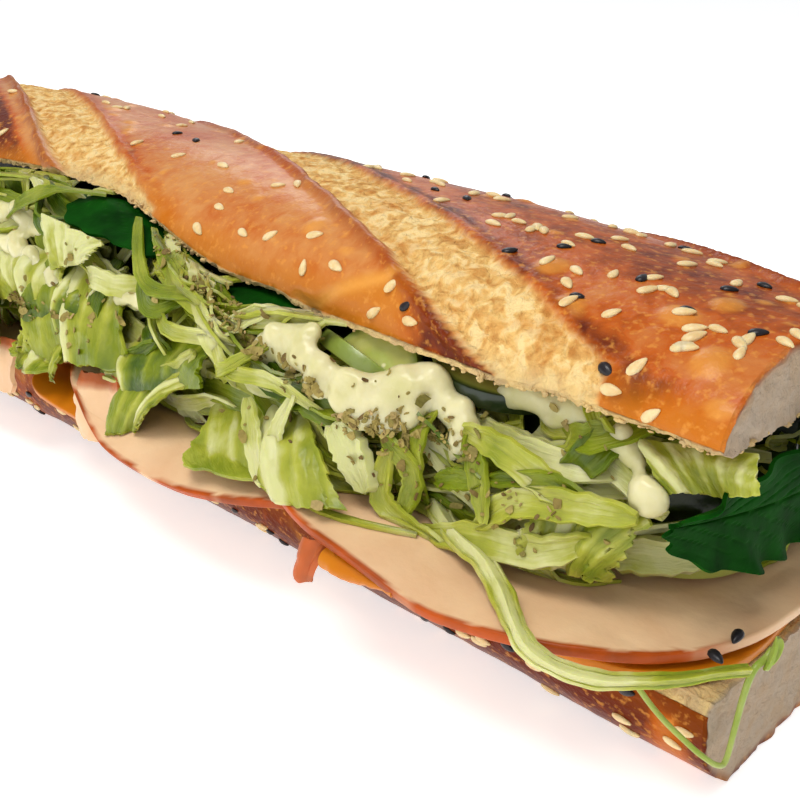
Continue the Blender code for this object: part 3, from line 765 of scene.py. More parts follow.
@dataclass(frozen=True)
class CrustFinish:
    """Glazed crust with pale slashes, blisters and a cut crumb face."""

    gold: Colour = (208, 140, 74)
    amber: Colour = (188, 88, 14)
    rust: Colour = (98, 32, 4)
    honey: Colour = (198, 114, 16)
    blister: Colour = (224, 152, 64)
    singe: Colour = (132, 50, 8)
    slash_light: Colour = (234, 188, 112)
    slash_dark: Colour = (192, 130, 62)
    crumb: Colour = (228, 196, 132)
    # Painted shade: the crumb of the cut end faces is painted greyer and darker than the torn crumb along the
    # front.
    crumb_end_painted_shade: Colour = (179, 160, 139)
    crumb_shade: Colour = (176, 148, 116)
    shine: float = 0.16

    def make(self, name: str, mottle: NodeTree) -> Material:
        """Return the material, which reads the marks tone, lip, edge, blister, slash, crumb and end."""
        s = Shader(name)
        patches = s.noise(60.0, 4.0)
        grain = s.span(s.noise(330.0, 6.0, distortion=0.5), 0.32, 0.68)
        patches = s.combine("ADD", s.span(patches, 0.35, 0.7), s.combine("MULTIPLY", grain, 0.9))
        tone = s.combine("ADD", s.attribute("tone"), s.combine("MULTIPLY", patches, 0.30))
        tone = s.combine("SUBTRACT", tone, 0.10)
        skin = s.ramp(tone, (0.16, self.gold), (0.62, self.amber), (1.0, self.rust))
        skin = s.mix(s.attribute("edge"), skin, self.honey)
        skin = s.mix(s.combine("MULTIPLY", s.attribute("lip"), 0.7), skin, self.singe)
        speckle = s.span(s.noise(900.0, 2.0), 0.56, 0.70)
        skin = s.mix(s.combine("MULTIPLY", speckle, 0.5), skin, self.blister)
        skin = s.mix(s.attribute("blister"), skin, self.blister)
        crackle = s.cells(520.0)
        rough = s.combine("ADD", s.span(s.noise(420.0, 5.0, distortion=0.8), 0.36, 0.66),
                          s.combine("MULTIPLY", s.span(crackle, 0.2, 0.6), 0.25))
        torn = s.ramp(rough, (0.0, self.slash_dark), (0.6, self.slash_light), (1.0, (246, 214, 150)))
        stain = s.span(s.noise(150.0, 3.0, distortion=1.0), 0.50, 0.68)
        torn = s.mix(s.combine("MULTIPLY", stain, 0.35), torn, self.honey)
        # The end faces take the darker crumb colour, painted shade for faces that turn away from the key
        # lamp.
        body = s.mix(s.attribute("end"), self.crumb, self.crumb_end_painted_shade)
        body = s.group(mottle, vector=s.place, colour=body,
                       tint=linear(self.crumb_shade), scale=300.0, amount=0.6).outputs[0]
        slash, crumb = s.attribute("slash"), s.attribute("crumb")
        colour = s.mix(crumb, s.mix(slash, skin, torn), body)
        open_share = s.combine("MAXIMUM", slash, crumb)
        fine = s.bump(s.noise(800.0, 4.0), 0.00016)
        deep = s.combine("SUBTRACT", open_share, s.combine("MULTIPLY", s.attribute("end"), 0.55))
        pores = s.combine("MULTIPLY", s.noise(750.0, 5.0, distortion=0.5), deep)
        normal = s.bump(pores, 0.0012, fine)
        roughness = s.ramp(open_share, (0.0, (150, 150, 150)), (0.6, (225, 225, 225)))
        coat = s.combine("MAXIMUM", s.combine("SUBTRACT", 0.75, tone), 0.0)
        coat = s.combine("MULTIPLY", coat, 3.0 * self.shine)
        coat = s.combine("MULTIPLY", s.combine("SUBTRACT", 1.0, open_share), coat)
        return s.finish(Base_Color=colour, Roughness=roughness, Normal=normal, Coat_Weight=coat,
                        Coat_Roughness=0.3, Specular_IOR_Level=self.shine, Subsurface_Weight=0.05,
                        Subsurface_Radius=(1.0, 0.5, 0.25), Subsurface_Scale=0.0015)


@dataclass(frozen=True)
class MoistFinish:
    """A plain moist food: a colour with soft patches, fine bumps and some glow inside."""

    colour: Colour
    tint: Colour
    patch_scale: float = 90.0
    patch_amount: float = 0.6
    bump_scale: float = 700.0
    bump_depth: float = 0.0001
    roughness: float = 0.35
    coat: float = 0.2
    glow: float = 0.3
    glow_radius: Colour = (1.0, 0.7, 0.4)
    glow_depth: float = 0.002

    def make(self, name: str, mottle: NodeTree, edge: Optional[Colour] = None) -> Material:
        """Return the material.

        Args:
            name: The material's name.
            mottle: The node group that tints in patches.
            edge: The colour where the mark rim is set.

        Returns:
            The finished material.
        """
        s = Shader(name)
        colour = s.group(mottle, vector=s.place, colour=linear(self.colour), tint=linear(self.tint),
                         scale=self.patch_scale, amount=self.patch_amount).outputs[0]
        if edge:
            uneven = s.group(mottle, vector=s.place, colour=linear(edge),
                             tint=linear(tuple(c * 0.72 for c in edge)), scale=160.0, amount=0.8)
            colour = s.mix(s.attribute("rim"), colour, uneven.outputs[0])
        return s.finish(Base_Color=colour, Roughness=self.roughness, Coat_Weight=self.coat,
                        Coat_Roughness=0.2, Specular_IOR_Level=0.2,
                        Normal=s.bump(s.noise(self.bump_scale, 4.0), self.bump_depth),
                        Subsurface_Weight=self.glow, Subsurface_Radius=self.glow_radius,
                        Subsurface_Scale=self.glow_depth)


MOIST = {
    "sliced_cheese": MoistFinish((200, 118, 8), (182, 94, 4), patch_scale=60.0, patch_amount=0.5,
                                 bump_scale=500.0, bump_depth=0.00006, roughness=0.4, coat=0.05, glow=0.2,
                                 glow_radius=(1.0, 0.6, 0.1)),
    "turkey_breast": MoistFinish((232, 194, 152), (218, 172, 130), patch_amount=0.7, bump_scale=420.0,
                                 bump_depth=0.00015, roughness=0.45, coat=0.06, glow=0.08,
                                 glow_radius=(1.0, 0.5, 0.3), glow_depth=0.0025),
    "pale_sesame": MoistFinish((236, 212, 160), (214, 174, 110), patch_scale=700.0, bump_scale=2500.0,
                               bump_depth=0.00005, roughness=0.4, glow_depth=0.0008),
    "black_sesame": MoistFinish((24, 21, 26), (44, 38, 40), patch_scale=700.0, patch_amount=0.5,
                                bump_scale=2500.0, bump_depth=0.00006, coat=0.3, glow=0.0),
    "mayonnaise": MoistFinish((222, 214, 168), (198, 192, 128), patch_scale=200.0, patch_amount=0.7,
                              bump_scale=380.0, bump_depth=0.00025, roughness=0.26, coat=0.3, glow=0.5,
                              glow_radius=(1.0, 0.85, 0.5), glow_depth=0.003),
    "sprout_stem": MoistFinish((142, 160, 62), (176, 184, 104), patch_scale=130.0, patch_amount=0.7,
                               bump_scale=900.0, bump_depth=0.00006, glow=0.4,
                               glow_radius=(0.7, 1.0, 0.3), glow_depth=0.001),
}
BROWNED_RIM = (186, 78, 2)


def moist(name: str, mottle: NodeTree, edge: Optional[Colour] = None) -> Material:
    """Return the moist material of this name."""
    return MOIST[name].make(name, mottle, edge)


@dataclass(frozen=True)
class LettuceFinish:
    """Crisp lettuce, from white ribs to green leaf, with fine veins."""

    white: Colour = (206, 206, 142)
    pale: Colour = (168, 170, 60)
    leaf: Colour = (120, 133, 16)
    green: Colour = (66, 90, 8)

    def make(self, name: str) -> Material:
        """Return the material, which reads the marks tone, along, across and rib."""
        s = Shader(name)
        wander = s.combine("MULTIPLY", s.span(s.noise(130.0, 4.0), 0.3, 0.7), 0.44)
        tone = s.combine("SUBTRACT", s.combine("ADD", s.attribute("tone"), wander), 0.20)
        veins_at = s.combined(s.combine("MULTIPLY", s.attribute("along"), 2.0),
                              s.combine("MULTIPLY", s.attribute("across"), 17.0), s.attribute("tone"))
        veins = s.noise(1.0, 2.0, veins_at, 0.35)
        tone = s.combine("SUBTRACT", tone, s.combine("MULTIPLY", s.span(veins, 0.45, 0.8), 0.16))
        tone = s.combine("SUBTRACT", tone, s.combine("MULTIPLY", s.attribute("rib"), 0.75))
        colour = s.ramp(tone, (0.0, self.white), (0.28, self.pale), (0.62, self.leaf), (1.0, self.green))
        height = s.combine("ADD", veins, s.combine("MULTIPLY", s.noise(600.0, 3.0), 0.5))
        normal = s.bump(height, 0.00032)
        return s.finish(Base_Color=colour, Roughness=0.36, Coat_Weight=0.12, Coat_Roughness=0.18,
                        Specular_IOR_Level=0.3,
                        Normal=normal, Subsurface_Weight=0.45, Subsurface_Radius=(0.8, 1.0, 0.3),
                        Subsurface_Scale=0.0018)


@dataclass(frozen=True)
class DarkLeafFinish:
    """A dark green leaf with paler veins."""

    colour: Colour = (14, 70, 10)
    shade: Colour = (6, 44, 5)
    vein: Colour = (26, 84, 14)

    def make(self, name: str) -> Material:
        """Return the material, which reads the mark vein."""
        s = Shader(name)
        body = s.mix(s.span(s.noise(160.0, 4.0), 0.35, 0.65), self.shade, self.colour)
        vein = s.attribute("vein")
        colour = s.mix(s.combine("MULTIPLY", vein, 0.55), body, self.vein)
        height = s.combine("SUBTRACT", s.noise(420.0, 4.0), vein)
        return s.finish(Base_Color=colour, Roughness=0.6, Specular_IOR_Level=0.02,
                        Normal=s.bump(height, 0.0002), Subsurface_Weight=0.15,
                        Subsurface_Radius=(0.3, 1.0, 0.2), Subsurface_Scale=0.001)


@dataclass(frozen=True)
class CucumberFinish:
    """Cucumber: pale wet flesh, a glassy seed ring and dark skin."""

    flesh: Colour = (188, 188, 96)
    core: Colour = (164, 170, 66)
    skin: Colour = (26, 44, 14)

    def make(self, name: str) -> Material:
        """Return the material, which reads the marks radius and skin."""
        s = Shader(name)
        body = s.ramp(s.attribute("radius"), (0.0, self.core), (0.42, (168, 178, 74)),
                      (0.58, self.flesh), (0.84, self.flesh), (0.97, (150, 168, 70)))
        seeds = s.span(s.cells(330.0), 0.22, 0.16)
        inner = s.combine("MULTIPLY", seeds, s.span(s.attribute("radius"), 0.55, 0.45))
        colour = s.mix(inner, body, (236, 232, 182))
        colour = s.mix(s.attribute("skin"), colour, self.skin)
        return s.finish(Base_Color=colour, Roughness=0.32, Coat_Weight=0.2, Coat_Roughness=0.15,
                        Normal=s.bump(s.noise(500.0), 0.0002), Subsurface_Weight=0.4,
                        Subsurface_Radius=(0.8, 1.0, 0.4), Subsurface_Scale=0.002)


# Breads

@dataclass
class TopBread:
    """The top bread with its slashes, blisters and torn edges."""

    shape: TopShape
    along: int = 310
    across: int = 100
    up: int = 14
    band: float = 0.0008
    slash_depth: float = 0.0014
    lip_height: float = 0.0010
    blisters: int = 120

    def build(self, material: Material) -> Piece:
        """Return the finished bread."""
        shape = self.shape
        bread = unit_box("bread_top_loaf", self.along, self.across, self.up)
        unit = spots_of(bread)
        a, b, c = unit.T
        x = shape.start_x + (shape.end_x - shape.start_x) * a
        first = shape.cut_start(x)
        run = first + self.band + (shape.length - first - 2 * self.band) * b
        flat = xyz(x, run * 1.4, 0.002)
        wobble = 0.10 * ripple(flat, 170.0, 3.0, 2)
        slash = shape.slash(x, run) + wobble
        ends = smooth_step(0.0, 0.003, run) * smooth_step(shape.length, shape.length - 0.003, run)
        inside = smooth_step(-1.0, -0.86, slash) * smooth_step(1.02, 0.80, slash)
        lip = np.exp(-((slash + 1.13) / 0.16) ** 2)
        right_lip = np.exp(-((slash - 1.10) / 0.10) ** 2)
        lumps = 0.0004 * ripple(xyz(x * 32, run * 48, 2.0), 1.0, 0.0)
        torn = ripple(flat, 330.0, 5.0, 3)
        bubble, blister = self.blister_relief(x, run, slash)
        lift = ends * (self.lip_height * lip + 0.0003 * right_lip
                       - self.slash_depth * inside * (0.72 + 0.28 * np.clip(-slash, 0.0, 1.0))) \
            + lumps + 0.00045 * inside * torn + bubble + 0.00006 * ripple(flat, 420.0, 9.0, 2)
        under, painted_fold_highlight = self.flap(x, run, slash)
        lift = lift - 0.0009 * under * (1.0 - 0.5 * smooth_step(0.0, 0.006, run - first))
        crust = shape.surface(x, run, lift)
        front = shape.surface(x, first, np.zeros_like(x))
        back = shape.surface(x, np.full_like(x, shape.length), np.zeros_like(x))
        inset, cut_width = 0.0007, 0.054
        share = b * (1.0 - 2 * inset / cut_width) + inset / cut_width
        cut = front + (back - front) * share[:, None]
        spots = cut + (crust - cut) * c[:, None]
        crumb = smooth_step(1.0, 0.90, c)
        spots = self.tear(spots, unit, crumb)
        spots[:, 2] -= shape.hang(x) * smooth_step(0.12, 0.0, b)
        reshape(bread, spots)
        oblique = x + shape.slash_slope * run
        panel = smooth_step(0.060, 0.085, oblique) * 0.28
        crest = smooth_step(0.018, 0.034, run) * 0.16
        edge = smooth_step(0.0075, 0.0015, run - first + 0.003 * ripple(flat, 70.0, 15.0))
        # Painted highlight: the flap under the fold is painted golden left of x 50 to 60 mm.
        painted_flap_highlight = 0.85 * under * smooth_step(0.060, 0.050, x)
        pale = inside * smooth_step(0.0050, 0.0010, run - first)
        # The blister mark also carries the fold's painted highlight, and the edge mark the flap's painted
        # highlight.
        mark(bread, slash=inside, end=at_ends(a), crumb=np.maximum(crumb, 0.75 * pale),
             blister=np.maximum(blister, painted_fold_highlight),
             edge=np.clip(0.75 * edge * (1.0 - under) + painted_flap_highlight, 0.0, 1.0),
             lip=np.clip(np.exp(-((slash + 1.18) / 0.17) ** 2) * (0.9 + 0.5 * wobble * 6), 0, 1),
             tone=(0.10 + panel + crest + 0.12 * ripple(flat, 45.0, 12.0, 2)
                   + 0.30 * np.exp(-((slash - 1.25) / 0.25) ** 2)
                   + under * 0.80 * smooth_step(0.050, 0.062, x)
                   + 0.75 * smooth_step(-0.028, -0.036, oblique)))
        smooth(bread, 60.0)
        return dressed(bread, material, Slot.CRUST, "bread_top")

    def flap(self, x: Array, run: Array,
             slash: Array) -> tuple[Array, Array]:
        """Return where the crust lies under the fold of the main panel, and the fold's edge, a band painted
        pale as a highlight.
        """
        folds = ((30.0, -1.0), (33.0, 2.2), (37.6, 2.4), (38.8, 3.7), (41.1, 5.2), (44.5, 6.7),
                 (47.8, 8.1), (50.4, 9.3), (52.0, 12.0), (74.0, 12.0))
        along, up = np.array(folds).T * MM
        line = np.interp(x, along, up)
        zone = (smooth_step(0.030, 0.034, x) * smooth_step(-0.85, -1.05, slash)
                * smooth_step(0.076, 0.072, x))
        # Painted highlight: a pale band just below the fold line.
        pale = np.exp(-((line - run - 0.0009) / 0.0010) ** 2) * smooth_step(0.053, 0.049, x)
        return zone * smooth_step(-0.0005, 0.0009, line - run), zone * pale

    def blister_relief(self, x: Array, run: Array,
                       slash: Array) -> tuple[Array, Array]:
        """Return how far the blisters stand out, and where they show."""
        draw = random.Random(31)
        height, shown = np.zeros_like(x), np.zeros_like(x)
        large = [(0.0775, 0.0125, 0.0030), (0.0905, 0.0185, 0.0026), (0.0870, 0.0060, 0.0020),
                 (0.0700, 0.0200, 0.0026), (0.0985, 0.0120, 0.0030), (0.0935, 0.0250, 0.0026),
                 (0.0300, 0.0125, 0.0022), (0.0730, 0.0075, 0.0016)]
        places = large + [(draw.uniform(self.shape.start_x, self.shape.end_x),
                           draw.uniform(0.004, self.shape.length - 0.004),
                           draw.uniform(0.0005, 0.0017)) for _ in range(self.blisters)]
        clear = smooth_step(1.05, 1.35, np.abs(slash))
        for centre_x, centre_run, radius in places:
            squash = 1.0 + 0.3 * math.sin(centre_x * 900.0)
            far = np.hypot((x - centre_x) * squash, run - centre_run) / radius
            dome = np.clip(1.0 - far ** 2, 0.0, 1.0)
            height = np.maximum(height, 0.20 * radius * dome)
            shown = np.maximum(shown, smooth_step(1.15, 0.75, far))
        return height * clear, 0.6 * shown * clear

    def tear(self, spots: Array, unit: Array, crumb: Array) -> Array:
        """Roughen the cut faces, most along their front and back edges."""
        a, b, c = unit.T
        long_side = smooth_step(0.03, 0.0, np.minimum(b, 1.0 - b))
        rag = ripple(spots, 420.0, 21.0, 3)
        spots[:, 2] -= crumb * (0.0003 + 0.0004 * long_side) * np.abs(rag)
        spots[:, 1] += crumb * 0.0005 * ripple(spots, 520.0, 24.0, 2)
        pits = 0.00045 * ripple(spots, 380.0, 27.0, 3)
        corner = 0.0018 * smooth_step(0.25, 0.0, b) * smooth_step(0.5, 0.0, c)
        spots[:, 0] += np.where(at_ends(a), pits + np.sign(a - 0.5) * corner * np.abs(rag), 0.0)
        return spots


@dataclass
class BottomBread:
    """The bottom bread: dark glazed crust and a flat crumb face."""

    shape: BottomShape
    along: int = 240
    across: int = 90
    up: int = 12

    def build(self, material: Material) -> Piece:
        """Return the finished bread."""
        shape = self.shape
        bread = unit_box("bread_bottom_loaf", self.along, self.across, self.up)
        unit = spots_of(bread)
        a, b, c = unit.T
        x = shape.start_x + (shape.end_x - shape.start_x) * a
        angle = 0.05 + (math.pi - 0.10) * b
        lumps = 0.0005 * ripple(xyz(x * 30, angle * 2.5, 7.0), 1.0, 0.0)
        plain = shape.surface(x, angle, lumps)
        wrinkle = 0.00012 * ripple(plain, 260.0, 33.0, 3)
        crust = shape.surface(x, angle, lumps + wrinkle)
        front, back = (shape.surface(x, np.full_like(x, end), np.zeros_like(x)) for end in (0.0, math.pi))
        inset = 0.012
        cut = front + (back - front) * (inset + (1.0 - 2 * inset) * b)[:, None]
        spots = crust + (cut - crust) * c[:, None]
        crumb = smooth_step(0.0, 0.10, c)
        rag = ripple(spots, 430.0, 35.0, 3)
        spots[:, 2] -= crumb * 0.0004 * np.abs(rag)
        pits = 0.0005 * ripple(spots, 360.0, 38.0, 3) - 0.0003 * np.sign(a - 0.5)
        spots[:, 0] += np.where(at_ends(a), pits, 0.0)
        spots[:, 2] = np.maximum(spots[:, 2], 0.0)
        reshape(bread, spots)
        flat = xyz(x, angle * 0.012, 0.0)
        patch = smooth_step(0.004, 0.0, np.abs(x - 0.1045)) * smooth_step(0.9, 0.6, np.abs(angle - 0.55) * 2)
        # The tone sits near the dark rust end: partly the bottom crust's own darker colour, partly painted
        # shade that the glowing floor would otherwise light away.
        mark(bread, slash=0.0, crumb=crumb, end=at_ends(a),
             tone=0.92 - 0.60 * patch + 0.20 * ripple(flat, 55.0, 41.0, 2),
             edge=np.clip(0.7 * patch + 0.3 * smooth_step(0.35, 0.1, angle), 0.0, 1.0),
             lip=0.5 * smooth_step(0.9, 1.5, angle) * smooth_step(2.2, 1.6, angle),
             blister=0.35 * smooth_step(0.42, 0.62, ripple(flat, 300.0, 43.0)) * (1.0 - crumb))
        smooth(bread, 60.0)
        return dressed(bread, material, Slot.CRUST, "bread_bottom")


# Seeds

WHITE_SEEDS = (
    (6.1, 15.5), (8.1, 11.2), (6.9, 5.9), (17.6, 7.7), (23.6, 8.7), (13.3, 20.7), (16.1, 22.7),
    (33.5, 5.4), (39.6, 7.2), (50.9, 7.3), (49.0, 2.3), (56.0, 2.9), (89.4, 3.7), (91.0, 8.0),
    (83.3, 15.0), (77.5, 14.0), (73.6, 21.5), (59.7, 29.8), (83.9, 22.7), (82.4, 26.7),
    (82.0, 36.4), (96.0, 18.9), (99.7, 17.3), (100.6, 15.5), (94.7, 13.5), (99.9, 18.7),
    (103.7, 20.7), (103.9, 23.4), (95.2, 2.3),
)
BLACK_SEEDS = (
    (54.6, 5.0), (62.7, 20.7), (67.4, 27.3), (77.6, 15.7), (81.4, 25.4), (87.5, 6.2),
    (100.2, 20.9), (34.6, 37.2), (42.2, 36.2),
)


@dataclass(frozen=True)
class SeedKind:
    """One kind of seed: the shown places on the top crust, and how many more are scattered."""

    name: str
    shown: tuple[tuple[float, float], ...]
    more_on_top: int
    below: int
    stretch: Point = (1.0, 1.0, 1.0)
    on_rim: tuple[Point, ...] = ()


PALE_SESAME = SeedKind("seeds_pale", WHITE_SEEDS, 90, 110)
BLACK_SESAME = SeedKind("seeds_black", BLACK_SEEDS, 14, 26, (0.80, 0.95, 1.0),
                        ((107.9, -25.6, 22.4), (107.8, -20.3, 22.6)))


@dataclass
class Seeds:
    """Sesame seeds, pale and black, lying on both crusts."""

    top: TopShape
    bottom: BottomShape
    length: float = 0.0031
    width: float = 0.0019
    thickness: float = 0.0010
    draw: random.Random = field(default_factory=lambda: random.Random(17))

    def model(self) -> Piece:
        """Return one drop-shaped seed about the origin, pointing along X."""
        pick()
        bpy.ops.mesh.primitive_uv_sphere_add(segments=10, ring_count=7, radius=0.5,
                                             rotation=(0.0, math.pi / 2, 0.0))
        seed = named("seed")
        finish_modifier(seed, "TRIANGULATE")
        spots = spots_of(seed)
        taper = 1.0 - 0.55 * (spots[:, 0] + 0.5) ** 1.5
        spots *= xyz(self.length, self.width * taper, self.thickness * (0.6 + 0.4 * taper))
        reshape(seed, spots)
        return seed

    def laid(self, model: Array, centre: Array, outward: Array,
             heading: float) -> Array:
        """Return a seed's vertices laid flat on a crust.

        Args:
            model: The model seed's vertices.
            centre: Where it lies.
            outward: The crust's outward direction.
            heading: Which way it points, in radians.

        Returns:
            Its vertices.
        """
        out = Vector(outward).normalized()
        ahead = Vector((math.cos(heading), math.sin(heading), 0.15))
        side = out.cross(ahead).normalized()
        turn = Matrix((side.cross(out), side, out)).transposed()
        size = self.draw.uniform(0.85, 1.08)
        return (model * size) @ np.array(turn).T + centre

    def on_crust(self, shape: Union[TopShape, BottomShape], crust: BVHTree, x: float, round_it: float,
                 step: float) -> tuple[Array, Array]:
        """Return a place on the real crust, so that no seed sinks in or floats.

        Args:
            shape: The bread's smooth shape.
            crust: The faces of the finished bread.
            x: The place along it.
            round_it: The place round it, as its shape takes it.
            step: How far out the direction is measured.

        Returns:
            The place and its outward direction.
        """
        near, far = shape.surface(np.array([x, x]), np.array([round_it, round_it]), np.array([0.0001, step]))
        out = Vector(far - near).normalized()
        hit = crust.ray_cast(Vector(near) + out * 0.004, -out, 0.008)[0]
        return (np.array(hit + out * 0.0001) if hit else near), far - near

    def scattered_top(self, count: int) -> list[tuple[float, float]]:
        """Draw places on the top crust that miss the slashes, most at the right and the back."""
        places = []
        while len(places) < count:
            x = self.draw.uniform(self.top.start_x + 0.003, self.top.end_x - 0.002)
            run = self.draw.uniform(0.004, self.top.length - 0.003)
            crowd = 0.10 + 0.9 * float(smooth_step(0.018, 0.034, run)) * (0.35 + 0.65 * (x > 0.0))
            crowd = max(crowd, 0.55 if x > 0.055 and run > 0.012 else 0.0)
            if self.draw.random() < crowd and abs(self.top.slash(np.array(x), np.array(run))) > 1.2:
                places.append((x, run))
        return places

    def build(self, kind: SeedKind, loaves: Sequence[Piece], material: Material) -> Piece:
        """Return all the seeds of one kind.

        Args:
            kind: The kind of seed.
            loaves: The finished top and bottom bread, on which they lie.
            material: Their material.

        Returns:
            The seeds as one piece.
        """
        model = self.model()
        base = spots_of(model) * np.array(kind.stretch)
        upper, lower = (tree_of([loaf]) for loaf in loaves)
        copies = []
        places = [(x * MM, run * MM * 0.96) for x, run in kind.shown] + self.scattered_top(kind.more_on_top)
        for x, run in places:
            centre, outward = self.on_crust(self.top, upper, x, run, 0.002)
            copies.append(self.laid(base, centre, outward, self.draw.uniform(-0.9, 1.9)))
        for index in range(kind.below):
            x = self.draw.uniform(self.bottom.start_x + 0.003, self.bottom.end_x - 0.003)
            angle = self.draw.uniform(0.12, 0.70)
            angle = math.pi - angle if index % 3 == 2 else angle
            centre, outward = self.on_crust(self.bottom, lower, x, angle, 0.003)
            copies.append(self.laid(base, centre, outward, self.draw.uniform(-0.9, 0.9)))
        upright = np.array((0.0, -0.3, 1.0))
        copies += [self.laid(base, np.array(spot) * MM, upright, spot[1]) for spot in kind.on_rim]
        seeds = repeated(kind.name, model, np.array(copies))
        smooth(seeds, 80.0)
        return dressed(seeds, material, Slot.CRUST)


# Cheese and turkey

@dataclass(frozen=True)
class Slice:
    """One slice of cheese or turkey that lies over the bottom bread."""

    node: str
    centre: tuple[float, float]
    half_size: tuple[float, float]
    squareness: float
    yaw: float
    lift_from: Optional[tuple[float, float]] = None


CHEESE = (
    Slice("cheese_left", (-0.0715, -0.0010), (0.0340, 0.0345), 9.0, -0.03),
    Slice("cheese_middle", (0.0015, -0.0010), (0.0340, 0.0345), 9.0, 0.02),
    Slice("cheese_right", (0.0735, -0.0010), (0.0345, 0.0350), 4.2, 0.105),
)
TURKEY = (
    Slice("turkey_left", (-0.0620, 0.0000), (0.046, 0.0340), 2.6, 0.0),
    Slice("turkey_middle", (0.0140, -0.0035), (0.044, 0.0365), 2.6, -0.05, (0.004, -0.012)),
    Slice("turkey_right", (0.0680, -0.0030), (0.042, 0.0375), 2.6, 0.0, (0.078, 0.060)),
)


@dataclass
class Slices:
    """Thin slices laid over the bottom bread, each drooping past its edges."""

    filling: FillingShape
    columns: int = 72
    rows: int = 64

    def build(self, piece: Slice, thickness: float, rise: float, material: Material,
              slot: Slot, rim: float) -> Piece:
        """Return one slice.

        Args:
            piece: Its outline and place.
            thickness: Its thickness.
            rise: How far its lower face lies above the seat.
            material: Its material.
            slot: The record's slot.
            rim: How wide its darker rim is.

        Returns:
            The slice, which stands for its solid.
        """
        sheet = unit_sheet(piece.node + "_slice", self.columns, self.rows)
        unit = spots_of(sheet)[:, :2] * 2.0 - 1.0
        unit = np.sign(unit) * (1.0 - (1.0 - np.abs(unit)) ** 1.35)
        a, b, largest = rounded(*unit.T, piece.squareness)
        half_length, half_width = piece.half_size
        along, across = a * half_length, b * half_width
        x = piece.centre[0] + along * math.cos(piece.yaw) - across * math.sin(piece.yaw)
        y = piece.centre[1] + along * math.sin(piece.yaw) + across * math.cos(piece.yaw)
        y = y + self.filling.bottom.middle(x)
        lift = 0.0
        if piece.lift_from:
            lift = (self.filling.turkey + self.filling.slice_gap) * smooth_step(*piece.lift_from, x)
        z = self.filling.stacked(x, y, rise + lift)
        from_edge = (1.0 - largest) * half_width
        spots = xyz(x, y, z)
        spots[:, 2] += 0.00008 * ripple(spots, 240.0, 51.0, 2)
        reshape(sheet, spots)
        worn = from_edge + 0.0010 * np.abs(ripple(spots, 170.0, 53.0, 3)) - 0.0002
        band = smooth_step(rim, rim * 0.35, worn) if rim else np.zeros_like(x)
        end_fade = smooth_step(0.1095, 0.1040, x) if piece.node == "turkey_right" else 1.0
        mark(sheet, rim=band * end_fade)
        finish_modifier(sheet, "SOLIDIFY", thickness=thickness, offset=1.0)
        finish_modifier(sheet, "BEVEL", width=thickness * 0.22, segments=2, limit_method="ANGLE",
                        angle_limit=math.radians(50))
        smooth(sheet, 65.0)
        return dressed(sheet, material, slot, piece.node)


# Cucumber and dark leaves

@dataclass(frozen=True)
class CucumberDisc:
    """One round cucumber slice; one with no node is a small one that no solid stands for."""

    node: str
    centre: Point
    radius: float
    lean: tuple[float, float]
    skin: float = 1.0


CUCUMBERS = (
    CucumberDisc("cucumber_1", (0.0885, -0.0040, 0.0240), 0.0128, (0.0, 0.0), 0.0),
    CucumberDisc("cucumber_2", (0.0450, -0.0200, 0.0375), 0.0110, (-38.0, 14.0), 0.2),
    CucumberDisc("cucumber_3", (0.0655, -0.0130, 0.0430), 0.0118, (2.0, 3.0)),
    CucumberDisc("cucumber_4", (0.0250, 0.0180, 0.0370), 0.0125, (24.0, -6.0)),
    CucumberDisc("cucumber_5", (-0.0960, 0.0040, 0.0360), 0.0125, (10.0, 14.0)),
    CucumberDisc("", (0.0500, -0.0262, 0.0405), 0.0078, (52.0, 10.0), 0.2),
)
CUCUMBER_THICKNESS = 0.0026


def build_cucumber(disc: CucumberDisc, material: Material) -> Piece:
    """Return one cucumber slice, inset in rings from a cylinder."""
    pick()
    bpy.ops.mesh.primitive_cylinder_add(vertices=56, radius=disc.radius, depth=CUCUMBER_THICKNESS)
    thing = named((disc.node or "cucumber_small") + "_round")
    with edit_mode(thing, "DESELECT"):
        bpy.ops.mesh.select_mode(type="FACE")
    for polygon in thing.data.polygons:
        polygon.select = abs(polygon.normal.z) > 0.9
    with edit_mode(thing, None):
        for _ in range(9):
            bpy.ops.mesh.inset(thickness=disc.radius * 0.1, use_individual=True)
        bpy.ops.mesh.poke()
    finish_modifier(thing, "BEVEL", width=0.0002, segments=2, limit_method="ANGLE",
                    angle_limit=math.radians(60))
    spots = spots_of(thing)
    far = np.hypot(spots[:, 0], spots[:, 1]) / disc.radius
    mark(thing, radius=np.clip(far, 0.0, 1.0) * (0.88 if disc.skin == 0.0 else 1.0),
         skin=disc.skin * smooth_step(0.962, 0.985, far))
    spots[:, 2] *= 1.0 + 0.10 * np.sin(far * 9.0) * (far < 0.8)
    about_x, about_y = (math.radians(angle) for angle in disc.lean)
    turn = Matrix.Rotation(about_y, 3, "Y") @ Matrix.Rotation(about_x, 3, "X")
    spots = spots @ np.array(turn).T + np.array(disc.centre)
    reshape(thing, spots)
    smooth(thing, 40.0)
    return dressed(thing, material, Slot.CUCUMBER, *filter(None, [disc.node]))


